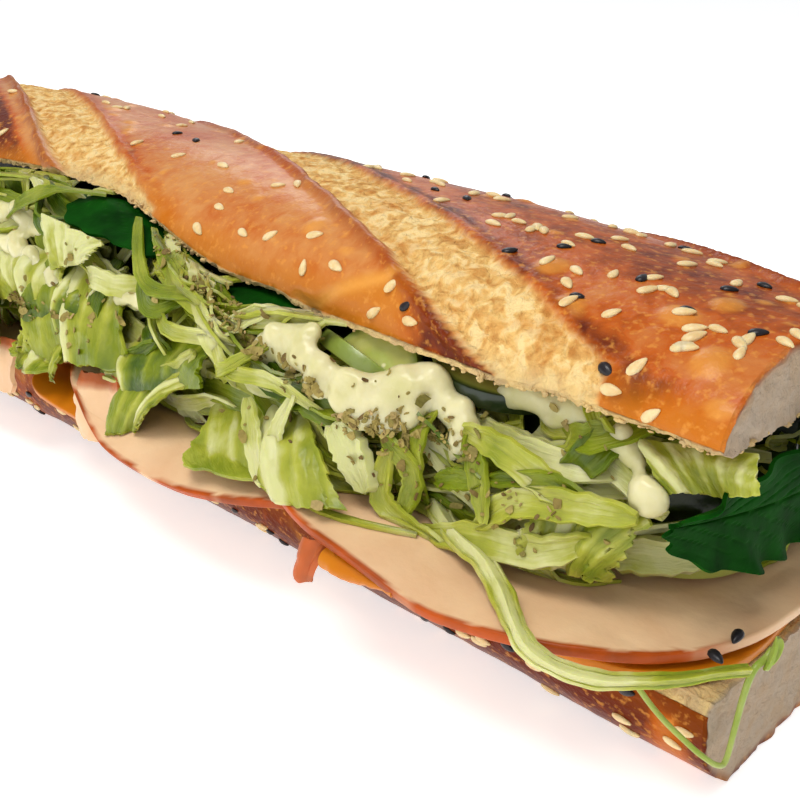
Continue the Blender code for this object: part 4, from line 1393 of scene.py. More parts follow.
@dataclass
class DarkLeaves:
    """Dark leaves: three lie flat under the top bread, two stand at the cut ends."""

    top: TopShape
    thickness: float = 0.0005
    columns: int = 72
    rows: int = 48

    def outline(self, name: str, squareness: float) -> tuple[Piece, Array, Array]:
        """Return an unshaped leaf and its places along and across, -1 to 1."""
        leaf = unit_sheet(name, self.columns, self.rows)
        unit = spots_of(leaf)[:, :2] * 2.0 - 1.0
        a, b, largest = rounded(*unit.T, squareness)
        b = b * (1.0 - 0.35 * a * np.abs(a))
        rag = largest ** 6 * 0.022 * np.sin(np.arctan2(b, a) * 19.0)
        return leaf, a * (1.0 + rag), b * (1.0 + rag)

    def veins(self, a: Array, b: Array) -> Array:
        """Return how strongly the midrib and side veins show."""
        middle = np.exp(-(b / 0.035) ** 2)
        side = (a - 0.9 * np.abs(b)) * 4.2
        side = np.exp(-((side - np.round(side)) / 0.07) ** 2) * smooth_step(1.0, 0.3, np.abs(b))
        return np.clip(middle + 0.6 * side, 0.0, 1.0)

    def closed(self, leaf: Piece, spots: Array, vein: Array,
               material: Material, node: str) -> Piece:
        """Give a shaped leaf its thickness and its material."""
        reshape(leaf, spots)
        mark(leaf, vein=vein)
        finish_modifier(leaf, "SOLIDIFY", thickness=self.thickness, offset=0.0)
        smooth(leaf, 65.0)
        return dressed(leaf, material, Slot.DARK_LEAF, node)

    def flat(self, node: str, centre: tuple[float, float], half_size: tuple[float, float],
             yaw: float, material: Material) -> Piece:
        """Return a leaf that lies against the top bread's cut.

        Args:
            node: The solid that it stands for.
            centre: Its middle in X and Y.
            half_size: Half its length and width.
            yaw: How far it is turned about Z, in radians.
            material: Its material.

        Returns:
            The leaf.
        """
        leaf, a, b = self.outline(node + "_blade", 2.4)
        along, across = a * half_size[0], b * half_size[1]
        x = centre[0] + along * math.cos(yaw) - across * math.sin(yaw)
        y = centre[1] + along * math.sin(yaw) + across * math.cos(yaw)
        past = np.maximum(0.0, np.abs(y) - 0.0265)
        wave = 0.0004 * np.sin(x * 300.0) * np.cos(y * 260.0)
        vein = self.veins(a, b)
        z = self.top.underside(x, y) - 0.0016 + wave - 0.35 * past - 0.0002 * vein
        return self.closed(leaf, xyz(x, y, z), vein, material, node)

    def standing(self, node: str, centre: Point, half_size: tuple[float, float], side: float,
                 material: Material) -> Piece:
        """Return a leaf that stands across a cut end and curls outwards at its rim.

        Args:
            node: The solid that it stands for.
            centre: Its middle.
            half_size: Half its width and height.
            side: 1 at the right end, -1 at the left one.
            material: Its material.

        Returns:
            The leaf.
        """
        leaf, a, b = self.outline(node + "_blade", 2.6)
        wave = 0.0012 * np.sin(5.0 * a + 1.0) * b
        edge = 0.0009 * np.sin(17.0 * a + 4.0 * b) * np.abs(b) ** 2
        out = 0.0010 * b + 0.0012 * b * b + wave + 0.0030 * a * side + edge
        vein = self.veins(a, b)
        tip = np.maximum(0.0, -a * side)
        y = centre[1] + a * half_size[0] * (1.0 + 0.24 * tip)
        z = centre[2] + b * half_size[1] * (1.0 - np.where(b > 0, 0.85, 0.42) * tip) + 0.0045 * tip ** 2
        spots = xyz(centre[0] + side * (out - 0.0003 * vein), y, z)
        return self.closed(leaf, spots, vein, material, node)

    def build(self, material: Material) -> None:
        """Build all five leaves."""
        self.flat("dark_leaf_1", (-0.0080, -0.0200), (0.0190, 0.0125), 0.15, material)
        self.flat("dark_leaf_2", (0.0300, -0.0190), (0.0150, 0.0110), -0.10, material)
        self.flat("dark_leaf_3", (-0.0450, 0.0190), (0.0240, 0.0120), 0.10, material)
        self.standing("dark_leaf_4", (0.1062, -0.0052, 0.0366), (0.0225, 0.0098), 1.0, material)
        self.standing("dark_leaf_5", (-0.1135, 0.0050, 0.0370), (0.0150, 0.0085), -1.0, material)


# Lettuce

@dataclass(frozen=True)
class Strip:
    """A lettuce strip through a few points, in millimetres."""

    points: tuple[Point, ...]
    width: float
    tone: float
    twist: float = 0.0
    thickness: float = 0.6


@dataclass(frozen=True)
class Blade:
    """A lettuce leaf between four corners in millimetres, top left first and clockwise."""

    corners: tuple[Point, Point, Point, Point]
    tone: float
    wave: float = 1.1
    bulge: float = 2.2
    jag: float = 0.8
    rib: float = 0.5


BLADES = (
    Blade(((20.5, -30, 29.5), (38.5, -29, 34.5), (58, -38.5, 26.2), (25.5, -42, 14.8)),
          0.40, 0.9, 2.4, 0.7, 0.62),
    Blade(((-33, -30, 40), (-8, -29, 44), (4, -38, 30), (-29, -39, 24)), 0.55),
    Blade(((-75, -29, 42), (-45, -29, 44), (-38, -40, 24), (-70, -39, 22)), 0.50),
    Blade(((-6, -34, 31), (21, -31, 40), (23, -37, 33), (-6, -37, 23)), 0.72, 0.7, 1.6, 0.6, 0.3),
    Blade(((-2, -34, 29), (20, -35, 33), (9, -39, 22), (1, -41.5, 15)), 0.50, 1.0, 1.8, 1.0, 0.7),
    Blade(((92, -22, 44), (106, -20, 46.5), (108.5, -22.5, 43), (98, -24.5, 40)), 0.34, 0.6, 1.4, 0.4, 0.2),
    Blade(((82, -26, 34), (97, -25, 37), (92, -26, 25.5), (81, -28.5, 24.5)), 0.42, 1.2, 1.8, 1.4, 0.4),
    Blade(((-28, -31, 43), (-12, -31, 39), (-8, -36, 33), (-30, -37, 29)), 0.85, 1.2, 2.6, 0.8, 0.5),
    Blade(((-46, -32, 41), (-23, -30, 43), (-19, -35, 36), (-42, -36, 31)), 0.22, 1.4, 2.6, 0.8, 0.5),
    Blade(((-36, -36, 26), (-18, -36, 29), (-15, -41, 18.5), (-31, -41.5, 14)), 0.46, 1.2, 1.4, 1.0, 0.5),
    Blade(((-100, -29, 42), (-80, -29, 43), (-76, -39, 26), (-98, -37, 24)), 0.60),
    Blade(((-27, -33.6, 50.5), (-7, -34, 49.5), (-12, -34.6, 45), (-24, -34.8, 41)),
          0.14, 0.7, 0.6, 0.9, 0.5),
    Blade(((50, 27, 40), (20, 27, 42), (14, 35, 24), (48, 36, 23)), 0.55),
    Blade(((-60, 27, 39), (-85, 27, 39), (-90, 35, 24), (-62, 35, 23)), 0.50),
    Blade(((0, 27, 41), (-30, 27, 42), (-34, 36, 25), (-4, 36, 23)), 0.70, 1.2, 2.4),
    Blade(((92, 24, 40), (66, 26, 41), (64, 34, 25), (90, 33, 24)), 0.40, 1.2, 2.4),
)
STRIPS = (
    Strip(((34, -36.5, 35), (36, -37.5, 31), (38, -38.5, 27.5), (41, -39.5, 22)), 3.2, 0.02, 0.2),
    Strip(((43, -35, 38), (41, -36, 33.5), (40, -36.5, 30), (39, -37, 25.5)), 2.6, 0.0, -0.5),
    Strip(((50, -34, 35.5), (54, -34, 32), (57, -33.5, 27)), 5.4, 0.04, 0.3, 1.6),
    Strip(((1, -32, 41), (0, -30, 44.5), (2, -28.5, 47), (5, -29, 46), (6, -31, 42)), 3.0, 0.05, 1.2),
    Strip(((66, -29.5, 31), (70, -30, 33), (74, -29.5, 34)), 3.0, 0.80, 0.1),
    Strip(((70, -28, 39), (73, -29.5, 35), (76, -31, 29)), 3.2, 0.62, 0.4),
    Strip(((74, -29, 34), (80, -29, 36.5), (85, -28.5, 37.5), (90, -28, 36.5)), 2.4, 0.72, 0.2),
    Strip(((69, -28, 39.5), (76, -28.5, 39), (83, -28.5, 37), (89, -28, 35)), 4.2, 0.32, -0.4),
    Strip(((74, -30, 27.5), (80, -30, 33.5), (89, -29, 36), (96, -27.5, 37)), 4.2, 0.28, 0.3),
    Strip(((65, -31, 22.5), (74, -31, 26), (84, -30, 28), (91, -28, 32)), 4.6, 0.30, 0.5),
    Strip(((59, -32, 34), (59, -33, 27), (63, -32.5, 24), (70, -31.5, 23)), 3.6, 0.34, 0.3),
    Strip(((58, -32, 36), (63, -31, 31), (62, -32, 24.5)), 3.4, 0.55, -0.3),
    Strip(((80, -22, 41), (88, -23, 40), (94, -24, 38.5), (98, -24.5, 37)), 3.2, 0.08, 0.4, 0.9),
    Strip(((20, -36, 38), (14, -36, 33), (4, -36.5, 29), (-4, -37.5, 27)), 3.0, 0.30, 0.4),
    Strip(((-16, -34, 38), (-10, -35.5, 33), (0, -36, 31), (8, -35, 36)), 3.2, 0.86, 0.6),
    Strip(((-56, -30, 46), (-46, -31, 43), (-38, -34, 38)), 4.0, 0.14, 0.4),
    Strip(((-36, -29, 46), (-28, -30, 47), (-20, -29, 44), (-14, -29, 46)), 3.4, 0.30, 0.7),
    Strip(((44, -37, 25), (52, -38, 22.5), (60, -36, 22.2), (66, -33, 23)), 3.0, 0.36, 0.2),
    Strip(((86, -17, 25), (90, -19, 26), (95, -16.5, 26.5), (99, -12, 26.5)), 5.0, 0.10, 0.2, 1.6),
)


WINDOWS = ((43, 58, 39.5, 50), (62, 74, 40, 50), (-15, -3, 45, 53), (21, 29, 45, 50), (97, 112, 20, 46),
           (86, 100, 18, 27))
LEAF_WINDOWS = ((15, 42, 14, 36), (-6, 22, 27, 40), (-46, -18, 31, 43), (46, 58, 26, 36), (82, 97, 24, 36))


@dataclass
class Lettuce:
    """The lettuce heap: a core, loose strips all round it, and the larger leaves that show."""

    filling: FillingShape
    draw: random.Random = field(default_factory=lambda: random.Random(41))
    steps: int = 14
    cross: int = 4

    def core(self, material: Material) -> Piece:
        """Return the lumpy middle of the heap, which the strips and leaves hide."""
        heap = unit_box("lettuce_core", 150, 44, 24)
        a, b, c = spots_of(heap).T
        x = -0.1085 + 0.2105 * a
        front, back = self.filling.heap_front(x) + 0.0072, self.filling.heap_back(x) - 0.0060
        round_off = np.sqrt(np.clip(1.0 - (2 * c - 1) ** 2, 0.0, 1.0))
        y = (front + back) / 2 + (back - front) / 2 * (2 * b - 1) * (0.90 + 0.10 * round_off)
        low = self.filling.floor(x, y) + 0.0004
        high = self.filling.top.underside(x, y) - 0.0030
        side = 1.0 - 0.16 * np.abs(2 * b - 1) ** 4
        z = (low + high) / 2 + (high - low) / 2 * (2 * c - 1) * side
        spots = xyz(x, y, z)
        folds = ripple(spots, 210.0, 61.0, 3)
        shift = 0.0016 * folds
        spots[:, 1] += shift * np.sign(b - 0.5)
        spots[:, 0] += np.where(at_ends(a), shift, 0.0)
        disc = CUCUMBERS[2]
        far = np.hypot(x - disc.centre[0], spots[:, 1] - disc.centre[1])
        over = np.maximum(0.0, spots[:, 2] - disc.centre[2] + CUCUMBER_THICKNESS)
        spots[:, 2] -= over * smooth_step(disc.radius + 0.0030, disc.radius + 0.0010, far)
        reshape(heap, self.filling.kept_clear(spots, 0.0006))
        # Painted shade: this tone is read through the darker copy of the lettuce material, so the gaps look
        # deep.
        mark(heap, tone=0.78 + 0.25 * ripple(spots, 120.0, 63.0, 2), along=a * 12.0, across=b * 3.0, rib=0.0)
        smooth(heap, 70.0)
        return dressed(heap, material, Slot.LETTUCE, "lettuce")

    def ribbon(self, path: Array, lean: Array, outward: Array, width: float,
               cup: float, ends: float = 0.55) -> Array:
        """Return a strip's vertices.

        Args:
            path: The points along its middle.
            lean: How far it is turned about its path at each point, in radians.
            outward: The direction that it faces where it isn't turned.
            width: Its width.
            cup: How deep it is hollowed across.
            ends: How wide its ends are, as a share of its width.

        Returns:
            Its vertices, along it and then across, as the model strip has them.
        """
        ahead, side, face = frame_along(path, outward)
        turned = side * np.cos(lean)[:, None] + face * np.sin(lean)[:, None]
        facing = np.cross(ahead, turned)
        share = np.linspace(0.0, 1.0, len(path))
        taper = ends + (1.0 - ends) * np.sqrt(np.sin(math.pi * share))
        nibble = 1.0 + 0.10 * np.sin(share * 37.0 + width * 9000.0)
        across = np.linspace(-1.0, 1.0, self.cross + 1)
        half = (width * taper * nibble / 2)[:, None]
        hollow = cup * (across ** 2 - 0.4)
        return (path[:, None] + turned[:, None] * (half * across)[..., None]
                + facing[:, None] * hollow[None, :, None])

    def gathered(self, name: str, strips: list[tuple[Array, float]], thickness: float,
                 material: Material) -> Piece:
        """Return one piece that holds many strips.

        Args:
            name: The piece's name.
            strips: Each strip's vertices and its tone.
            thickness: Their thickness.
            material: Their material.

        Returns:
            The finished piece.
        """
        model = unit_sheet("strip", self.steps, self.cross)
        unit = spots_of(model)
        rows = np.rint(unit[:, 0] * self.steps).astype(int)
        columns = np.rint(unit[:, 1] * self.cross).astype(int)
        copies, tones, offsets = [], [], []
        for spots, tone in strips:
            copies.append(spots[rows, columns])
            fade = tone * (1.0 - 0.45 * np.clip(unit[:, 0] * 1.5 - 0.5, 0.0, 1.0) * self.draw.random())
            tones.append(fade)
            offsets.append(unit[:, 0] * 2.0 + self.draw.uniform(0.0, 40.0))
        copies = self.filling.kept_clear(np.array(copies), LEAF_MARGIN)
        piece = repeated(name, model, copies, tone=tones, along=offsets,
                         across=np.tile(unit[:, 1] * 0.35, len(copies)), rib=0.0)
        finish_modifier(piece, "SOLIDIFY", thickness=thickness, offset=0.0)
        smooth(piece, 70.0)
        return dressed(piece, material, Slot.LETTUCE)

    def loose_strip(self, x: float, side: float, depth: float) -> tuple[Array, float]:
        """Return one random strip at the front (side -1) or back (side 1) of the heap.

        Args:
            x: The middle of its place along the loaf.
            side: -1 or 1.
            depth: How far it lies inside the heap's outline.

        Returns:
            Its vertices and its tone.
        """
        draw = self.draw
        length, width = draw.uniform(0.016, 0.038), draw.uniform(0.0020, 0.0052)
        slope, level = draw.gauss(-0.1, 0.55), draw.uniform(0.04, 0.97)
        bow, curl = draw.uniform(0.0005, 0.0035), draw.uniform(0.0004, 0.0026)
        phase, turns = draw.uniform(0.0, 6.3), draw.uniform(3.0, 8.0)
        t = np.linspace(-0.5, 0.5, self.steps + 1)
        spot_x = np.clip(x + length * t * math.cos(slope), -0.1095, 0.1085)
        limit = self.filling.heap_front(spot_x) if side < 0 else self.filling.heap_back(spot_x)
        y = limit - side * (0.0030 + depth - 2 * bow * np.cos(math.pi * t)) + 0.4 * curl * np.cos(turns * t)
        low, high = self.filling.floor(spot_x, y), self.filling.top.underside(spot_x, y)
        z = low + (high - low) * level + length * t * math.sin(slope) + curl * np.sin(turns * t + phase)
        over = smooth_step(0.55, 1.0, (z - low) / (high - low))
        y = y - side * 0.0045 * over
        path = xyz(spot_x, y, z)
        if side < 0 and self.in_window(path, WINDOWS if depth else WINDOWS + LEAF_WINDOWS):
            return self.loose_strip(x + draw.uniform(-0.02, 0.02), side, depth)
        lean = draw.gauss(0.0, 0.5) + draw.uniform(-1.3, 1.3) * t
        spots = self.ribbon(path, lean, np.array((0.0, side, 0.25)), width, draw.uniform(0.0, 0.0009))
        return spots, self.tone()

    def in_window(self, path: Array, windows: Sequence[tuple[float, ...]]) -> bool:
        """Return whether a front strip would hide a leaf, a slice or a gap that shows."""
        middle = path[2:-2] / MM
        return any(bool(np.any((middle[:, 0] > left) & (middle[:, 0] < right)
                               & (middle[:, 2] > low) & (middle[:, 2] < high)))
                   for left, right, low, high in windows)

    def end_strip(self, side: float) -> tuple[Array, float]:
        """Return one random strip at the right (side 1) or left (side -1) cut end."""
        draw = self.draw
        length, width = draw.uniform(0.012, 0.028), draw.uniform(0.0022, 0.0050)
        slope, y0 = draw.gauss(0.0, 0.4), draw.uniform(0.002 if side > 0 else -0.022, 0.022)
        z0, curl = draw.uniform(0.025, 0.045), draw.uniform(0.0003, 0.0018)
        t = np.linspace(-0.5, 0.5, self.steps + 1)
        x_end = 0.1000 if side > 0 else -0.1080
        y = y0 + length * t * math.cos(slope)
        z = z0 + length * t * math.sin(slope) + curl * np.sin(6.0 * t)
        x = x_end + side * (0.0010 + draw.uniform(-0.003, 0.0) + 0.0016 * np.cos(math.pi * t))
        path = xyz(x, y, z)
        lean = draw.gauss(0.0, 0.5) + draw.uniform(-1.0, 1.0) * t
        return self.ribbon(path, lean, np.array((side, 0.0, 0.2)), width, 0.0005), self.tone()

    def tone(self) -> float:
        """Draw how green a strip is: most are pale."""
        return min(max(self.draw.gauss(0.38, 0.29), 0.0), 1.0)

    def loose(self, material: Material) -> None:
        """Build the loose strips round the heap, those at the front in two layers."""
        layers = (("strips_inner", -1.0, 130, 0.0030), ("strips_outer", -1.0, 115, 0.0),
                  ("strips_back", 1.0, 120, 0.0010))
        for name, side, count, depth in layers:
            strips = []
            for index in range(count):
                x = -0.104 + 0.206 * (index + self.draw.random()) / count
                strips.append(self.loose_strip(x, side, depth))
            self.gathered(name, strips, STRIP_THICKNESS, material)
        ends = [self.end_strip(side) for side, count in ((1.0, 30), (-1.0, 60)) for _ in range(count)]
        self.gathered("strips_ends", ends, STRIP_THICKNESS, material)

    def shown(self, material: Material) -> None:
        """Build the strips and white ribs that are laid one by one."""
        for thickness in sorted({strip.thickness for strip in STRIPS}):
            strips = []
            for strip in (s for s in STRIPS if s.thickness == thickness):
                path = smooth_path(strip.points, self.steps + 1) * MM
                t = np.linspace(-0.5, 0.5, self.steps + 1)
                spots = self.ribbon(path, strip.twist * 2.0 * t, np.array((0.1, -0.9, 0.35)),
                                    strip.width * MM, 0.0006, 0.35)
                strips.append((spots, strip.tone))
            name = "strips_shown" if thickness < 0.8 else f"ribs_{round(thickness * 10)}"
            self.gathered(name, strips, thickness * MM, material)

    def blade(self, index: int, blade: Blade, material: Material) -> Piece:
        """Return one larger leaf with ribs, ripples and a torn edge.

        Args:
            index: Its number.
            blade: Its place and form.
            material: Its material.

        Returns:
            The leaf.
        """
        columns, rows = 56, 42
        leaf = unit_sheet(f"leaf_{index}", columns, rows)
        a, b = spots_of(leaf)[:, :2].T
        flat = xyz(a + index, b, 0.0)
        rag = blade.jag * 0.06 * ripple(flat, 9.0, 71.0 + index, 3)
        b = np.clip(b + rag * smooth_step(0.7, 0.0, b), -0.15, 1.1)
        a = a + rag * smooth_step(0.35, 0.0, np.minimum(a, 1.0 - a)) * np.sign(0.5 - a)
        spots = between(blade.corners, a, b)
        top_left, top_right, _, low_left = (np.array(corner) for corner in blade.corners)
        outward = np.cross(low_left - top_left, top_right - top_left)
        outward = outward * np.sign(outward[1] * low_left[1]) / np.linalg.norm(outward)
        fan = a + (0.5 - a) * 0.45 * b
        ribs = np.exp(-(((fan * 7.0) % 1.0 - 0.5) / 0.16) ** 2)
        main_rib = np.exp(-((fan - blade.rib) / 0.045) ** 2)
        wave = blade.wave * MM * (np.sin(9.0 * a + 1.5 * b + index) * (1.2 - b)
                                  + 0.5 * np.sin(21.0 * a + 2.0 * index) * (1.0 - b) ** 2)
        swell = blade.bulge * MM * np.sin(math.pi * np.clip(b, 0, 1))
        depth = wave + swell + 0.00025 * ribs + 0.0007 * main_rib + 0.0002 * ripple(spots, 500.0, 74.0, 2)
        spots = spots + outward * depth[:, None]
        reshape(leaf, self.filling.kept_clear(spots, LEAF_MARGIN))
        mark(leaf, tone=blade.tone + 0.20 * ripple(flat, 3.0, 77.0, 2) + 0.10 * (1 - b),
             along=b * 2.0 + index, across=fan * 1.3,
             rib=np.clip(0.35 * ribs * smooth_step(0.0, 0.5, b) + main_rib, 0.0, 1.0))
        finish_modifier(leaf, "SOLIDIFY", thickness=LEAF_THICKNESS, offset=0.0)
        smooth(leaf, 70.0)
        return dressed(leaf, material, Slot.LETTUCE)

    def build(self, material: Material, depth: Material) -> None:
        """Build the whole heap, its core in a darker copy of the lettuce material, painted shade for the gaps
        between strips and leaves.
        """
        self.core(depth)
        self.loose(material)
        self.shown(material)
        for index, blade in enumerate(BLADES, 1):
            self.blade(index, blade, material)


# Mayonnaise and herbs

MAYO_STROKES = (
    ((49, -32, 41, 2.2), (52, -32, 40, 2.4), (54, -31, 39.5, 2.6), (56, -29, 40, 3.0), (57, -27.5, 42, 3.0),
     (59, -26.5, 43, 2.4)),
    ((57, -29.5, 40, 2.4), (61, -26, 42, 2.6), (63, -26, 41, 2.4), (66, -26, 39.5, 2.0), (68, -27, 38, 1.7),
     (68, -27.5, 36.5, 1.4), (67, -27.5, 34.5, 1.0)),
    ((50, -34, 38.5, 1.5), (54, -33, 37.5, 1.6), (57, -31, 38, 1.9), (60, -29, 39, 2.0)),
    ((33, -33, 41, 1.7), (35, -32.5, 43, 2.0), (37, -31.5, 44, 2.1), (40, -31, 45, 1.9),
     (42, -30.5, 46, 1.5)),
    ((38, -33.5, 41.5, 1.6), (41, -32.5, 43, 2.1), (44, -32.5, 42, 2.0), (47, -32.5, 41.5, 1.9)),
    ((45, -34, 40, 1.3), (47, -34, 39, 1.1)),
    ((71, -22, 43, 1.6), (74, -22, 43.5, 1.9), (77, -22, 44, 1.9), (81, -22, 44, 2.1), (86, -21.5, 44, 2.0)),
    ((85, -22, 43.5, 1.9), (88, -22.5, 43.5, 2.0), (90.5, -23, 43, 1.6), (92.5, -23.5, 42, 1.1)),
    ((95.0, -25.3, 39.4, 1.6), (95.8, -25.5, 39.6, 2.0), (97.8, -26, 38.6, 0.9)),
    ((-56, -30, 46, 2.4), (-46, -30.5, 46.5, 2.6), (-36, -30, 46, 2.2)),
    ((-44, -33, 42, 2.0), (-36, -33.5, 41, 2.2), (-28, -34, 39, 1.9), (-22, -34, 38, 1.4)),
    ((-4, -34, 40, 1.3), (3, -33.5, 42, 1.7), (8, -33.5, 41, 1.2)),
    ((-90, -33, 38, 2.0), (-80, -34, 41, 2.4), (-70, -34, 39, 1.8)),
    ((40, 30, 39, 1.8), (30, 31, 40, 2.2), (22, 31, 38, 1.6)),
    ((-40, 31, 38, 1.8), (-50, 31, 40, 2.3), (-58, 31, 37, 1.6)),
)
HERB_CLUSTERS = (
    (48, 34, 1.6, 26), (54, 35, 2.4, 44), (60, 36, 2.2, 44), (66, 38.5, 2.0, 30), (71, 38, 2.0, 18),
    (24, 47, 2.0, 26), (20, 43, 2.6, 44), (27, 40, 2.4, 30), (36, 38, 2.6, 30), (41, 37, 1.6, 18),
    (14, 46, 2.2, 26), (6, 50, 2.5, 18), (-47, 28, 3.0, 44), (-53, 21, 3.0, 34), (-32, 27, 5.0, 20),
    (77, 33, 6.0, 26), (84, 34, 6.0, 14), (66, 29, 4.0, 16), (56, 41, 6.0, 16), (88, 46, 4.0, 8),
    (56, 28, 5.0, 10), (-20, 38, 10.0, 26), (30, 26, 8.0, 10), (-80, 34, 13.0, 50),
)


def build_mayonnaise(material: Material) -> Piece:
    """Return the mayonnaise: blobs along smears, melted together into one skin."""
    draw = random.Random(83)
    blobs = []
    pick()
    for points in MAYO_STROKES:
        for spot in smooth_path(points, 3 * len(points)):
            size = spot[3] * draw.uniform(0.90, 1.30)
            shift = np.array([draw.uniform(-1, 1), draw.uniform(-0.1, 0.4), draw.uniform(-1, 1)]) * size * 0.4
            bpy.ops.mesh.primitive_ico_sphere_add(
                subdivisions=3, radius=size * MM, location=(spot[:3] + shift) * MM,
                scale=(1.1, 0.8, draw.uniform(0.8, 1.05)), rotation=(0.0, draw.uniform(-0.6, 0.6), 0.0))
            blobs.append(bpy.context.active_object)
    sauce = joined("mayonnaise_smears", blobs)
    finish_modifier(sauce, "REMESH", mode="VOXEL", voxel_size=0.00065)
    finish_modifier(sauce, "SMOOTH", factor=0.5, iterations=6)
    spots = spots_of(sauce)
    shift = 0.0005 * ripple(spots, 260.0, 85.0, 3)
    spots[:, 1] -= shift
    spots[:, 2] += 0.7 * shift
    reshape(sauce, spots)
    smooth(sauce, 180.0)
    return dressed(sauce, material, Slot.LETTUCE)


def build_herbs(carriers: Sequence[Piece], material: Material) -> Piece:
    """Return the dried herb flakes, dropped onto what carries them.

    Args:
        carriers: The pieces that the flakes may lie on.
        material: Their material.

    Returns:
        All the flakes as one piece.
    """
    draw = random.Random(97)
    tree = tree_of(carriers)
    model = unit_sheet("flake", 3, 1)
    unit = spots_of(model)[:, :2] - 0.5
    copies, tones = [], []
    for x, z, spread, count in HERB_CLUSTERS:
        for _ in range(count):
            aim = Vector((draw.gauss(x, spread), -30.0, draw.gauss(z, spread * 0.6))) * MM
            fall = (aim - Vector(Studio.camera_place if x > -60 else (-0.08, -0.2, 0.2))).normalized()
            place, normal, _, _ = tree.ray_cast(aim - fall * 0.05, fall)
            if place is None:
                continue
            length = min(0.0020, 0.0005 + draw.expovariate(1.0) * 0.0005)
            width = length * draw.uniform(0.3, 0.8)
            tilt = Vector([draw.gauss(0.0, 0.35) for _ in range(3)])
            out = (normal if normal.dot(fall) < 0 else -normal) + tilt
            ahead = Vector([draw.gauss(0.0, 1.0) for _ in range(3)]).cross(out).normalized()
            side = ahead.cross(out).normalized()
            out.normalize()
            bend = draw.uniform(-0.5, 0.5) * length
            taper = 1.0 - draw.uniform(0.2, 0.7) * np.abs(unit[:, 0] * 2) ** 1.5
            copies.append(np.array(place) + np.outer(unit[:, 0] * length, ahead)
                          + np.outer(unit[:, 1] * width * taper, side)
                          + np.outer(0.0002 + bend * unit[:, 0] ** 2 * 2, out))
            tones.append(np.full(len(unit), draw.random()))
    flakes = repeated("herb_flakes", model, np.array(copies), tone=tones)
    finish_modifier(flakes, "SOLIDIFY", thickness=0.00014, offset=0.0)
    return dressed(flakes, material, Slot.LETTUCE)


def herb_material() -> Material:
    """Return the dried herbs' material, olive to brown from flake to flake."""
    s = Shader("dried_herbs")
    colour = s.ramp(s.attribute("tone"), (0.0, (98, 68, 28)), (0.2, (150, 132, 58)),
                    (0.6, (180, 160, 88)), (0.85, (128, 120, 50)), (1.0, (200, 170, 112)))
    grain = s.span(s.noise(1500.0, 2.0), 0.3, 0.7)
    return s.finish(Base_Color=s.mix(s.combine("MULTIPLY", grain, 0.3), colour, (70, 52, 22)),
                    Roughness=0.75, Normal=s.bump(grain, 0.0001))


# Loose strands at the right

SHRED_ROUTE = (
    (60.0, -25.0, 27.5), (66.2, -28.4, 25.6), (72.3, -31.2, 25.2), (77.2, -32.6, 25.0),
    (82.6, -35.2, 23.8), (87.0, -38.2, 22.9), (91.0, -40.2, 21.9), (95.0, -39.2, 20.6),
    (99.4, -37.6, 20.6), (103.0, -35.2, 21.2), (107.0, -32.4, 22.2), (110.2, -29.6, 23.4),
    (112.6, -26.6, 23.6),
)
SPROUT_ROUTE = (
    (100.9, -32.2, 18.8), (103.3, -31.9, 16.6), (105.6, -31.5, 14.8), (108.6, -30.9, 13.0),
    (110.3, -30.0, 11.6), (111.6, -28.2, 9.9), (111.9, -26.6, 9.8), (111.9, -25.8, 14.4),
    (112.0, -25.4, 19.0), (112.3, -24.8, 22.4), (112.6, -22.6, 23.2), (112.8, -21.5, 24.0),
)


def build_long_shred(material: Material) -> Piece:
    """Return the long shred that hangs over the turkey's rim and narrows to a stem."""
    steps, cross = 90, 6
    sheet = unit_sheet("long_shred", steps, cross)
    unit = spots_of(sheet)
    path = smooth_path(SHRED_ROUTE, steps + 1) * MM
    share = np.linspace(0.0, 1.0, steps + 1)
    blend = smooth_step(0.3, 0.65, share)[:, None]
    facing = np.array((0.0, -0.35, 0.94)) * (1 - blend) + np.array((0.15, -0.85, 0.50)) * blend
    _, side, out = frame_along(path, facing)
    width = 0.0030 - 0.0008 * smooth_step(0.3, 0.6, share) - 0.0012 * smooth_step(0.6, 0.95, share)
    width = width * (1.0 + 0.07 * np.sin(share * 41.0) + 0.05 * np.sin(share * 97.0))
    rows = np.rint(unit[:, 0] * steps).astype(int)
    across = unit[:, 1] * 2.0 - 1.0
    spots = path[rows] + side[rows] * (width[rows] / 2 * across)[:, None] \
        + out[rows] * (0.0004 * np.cos(across * 5.0) - 0.0004 * across ** 2)[:, None]
    reshape(sheet, spots)
    mark(sheet, tone=0.08 + 0.55 * smooth_step(0.55, 0.95, unit[:, 0]) + 0.12 * np.abs(across),
         along=unit[:, 0] * 9.0, across=unit[:, 1] * 0.35, rib=0.25 * np.exp(-(across / 0.5) ** 2))
    finish_modifier(sheet, "SOLIDIFY", thickness=LEAF_THICKNESS, offset=0.0)
    smooth(sheet, 70.0)
    return dressed(sheet, material, Slot.LETTUCE, "lettuce_shred")


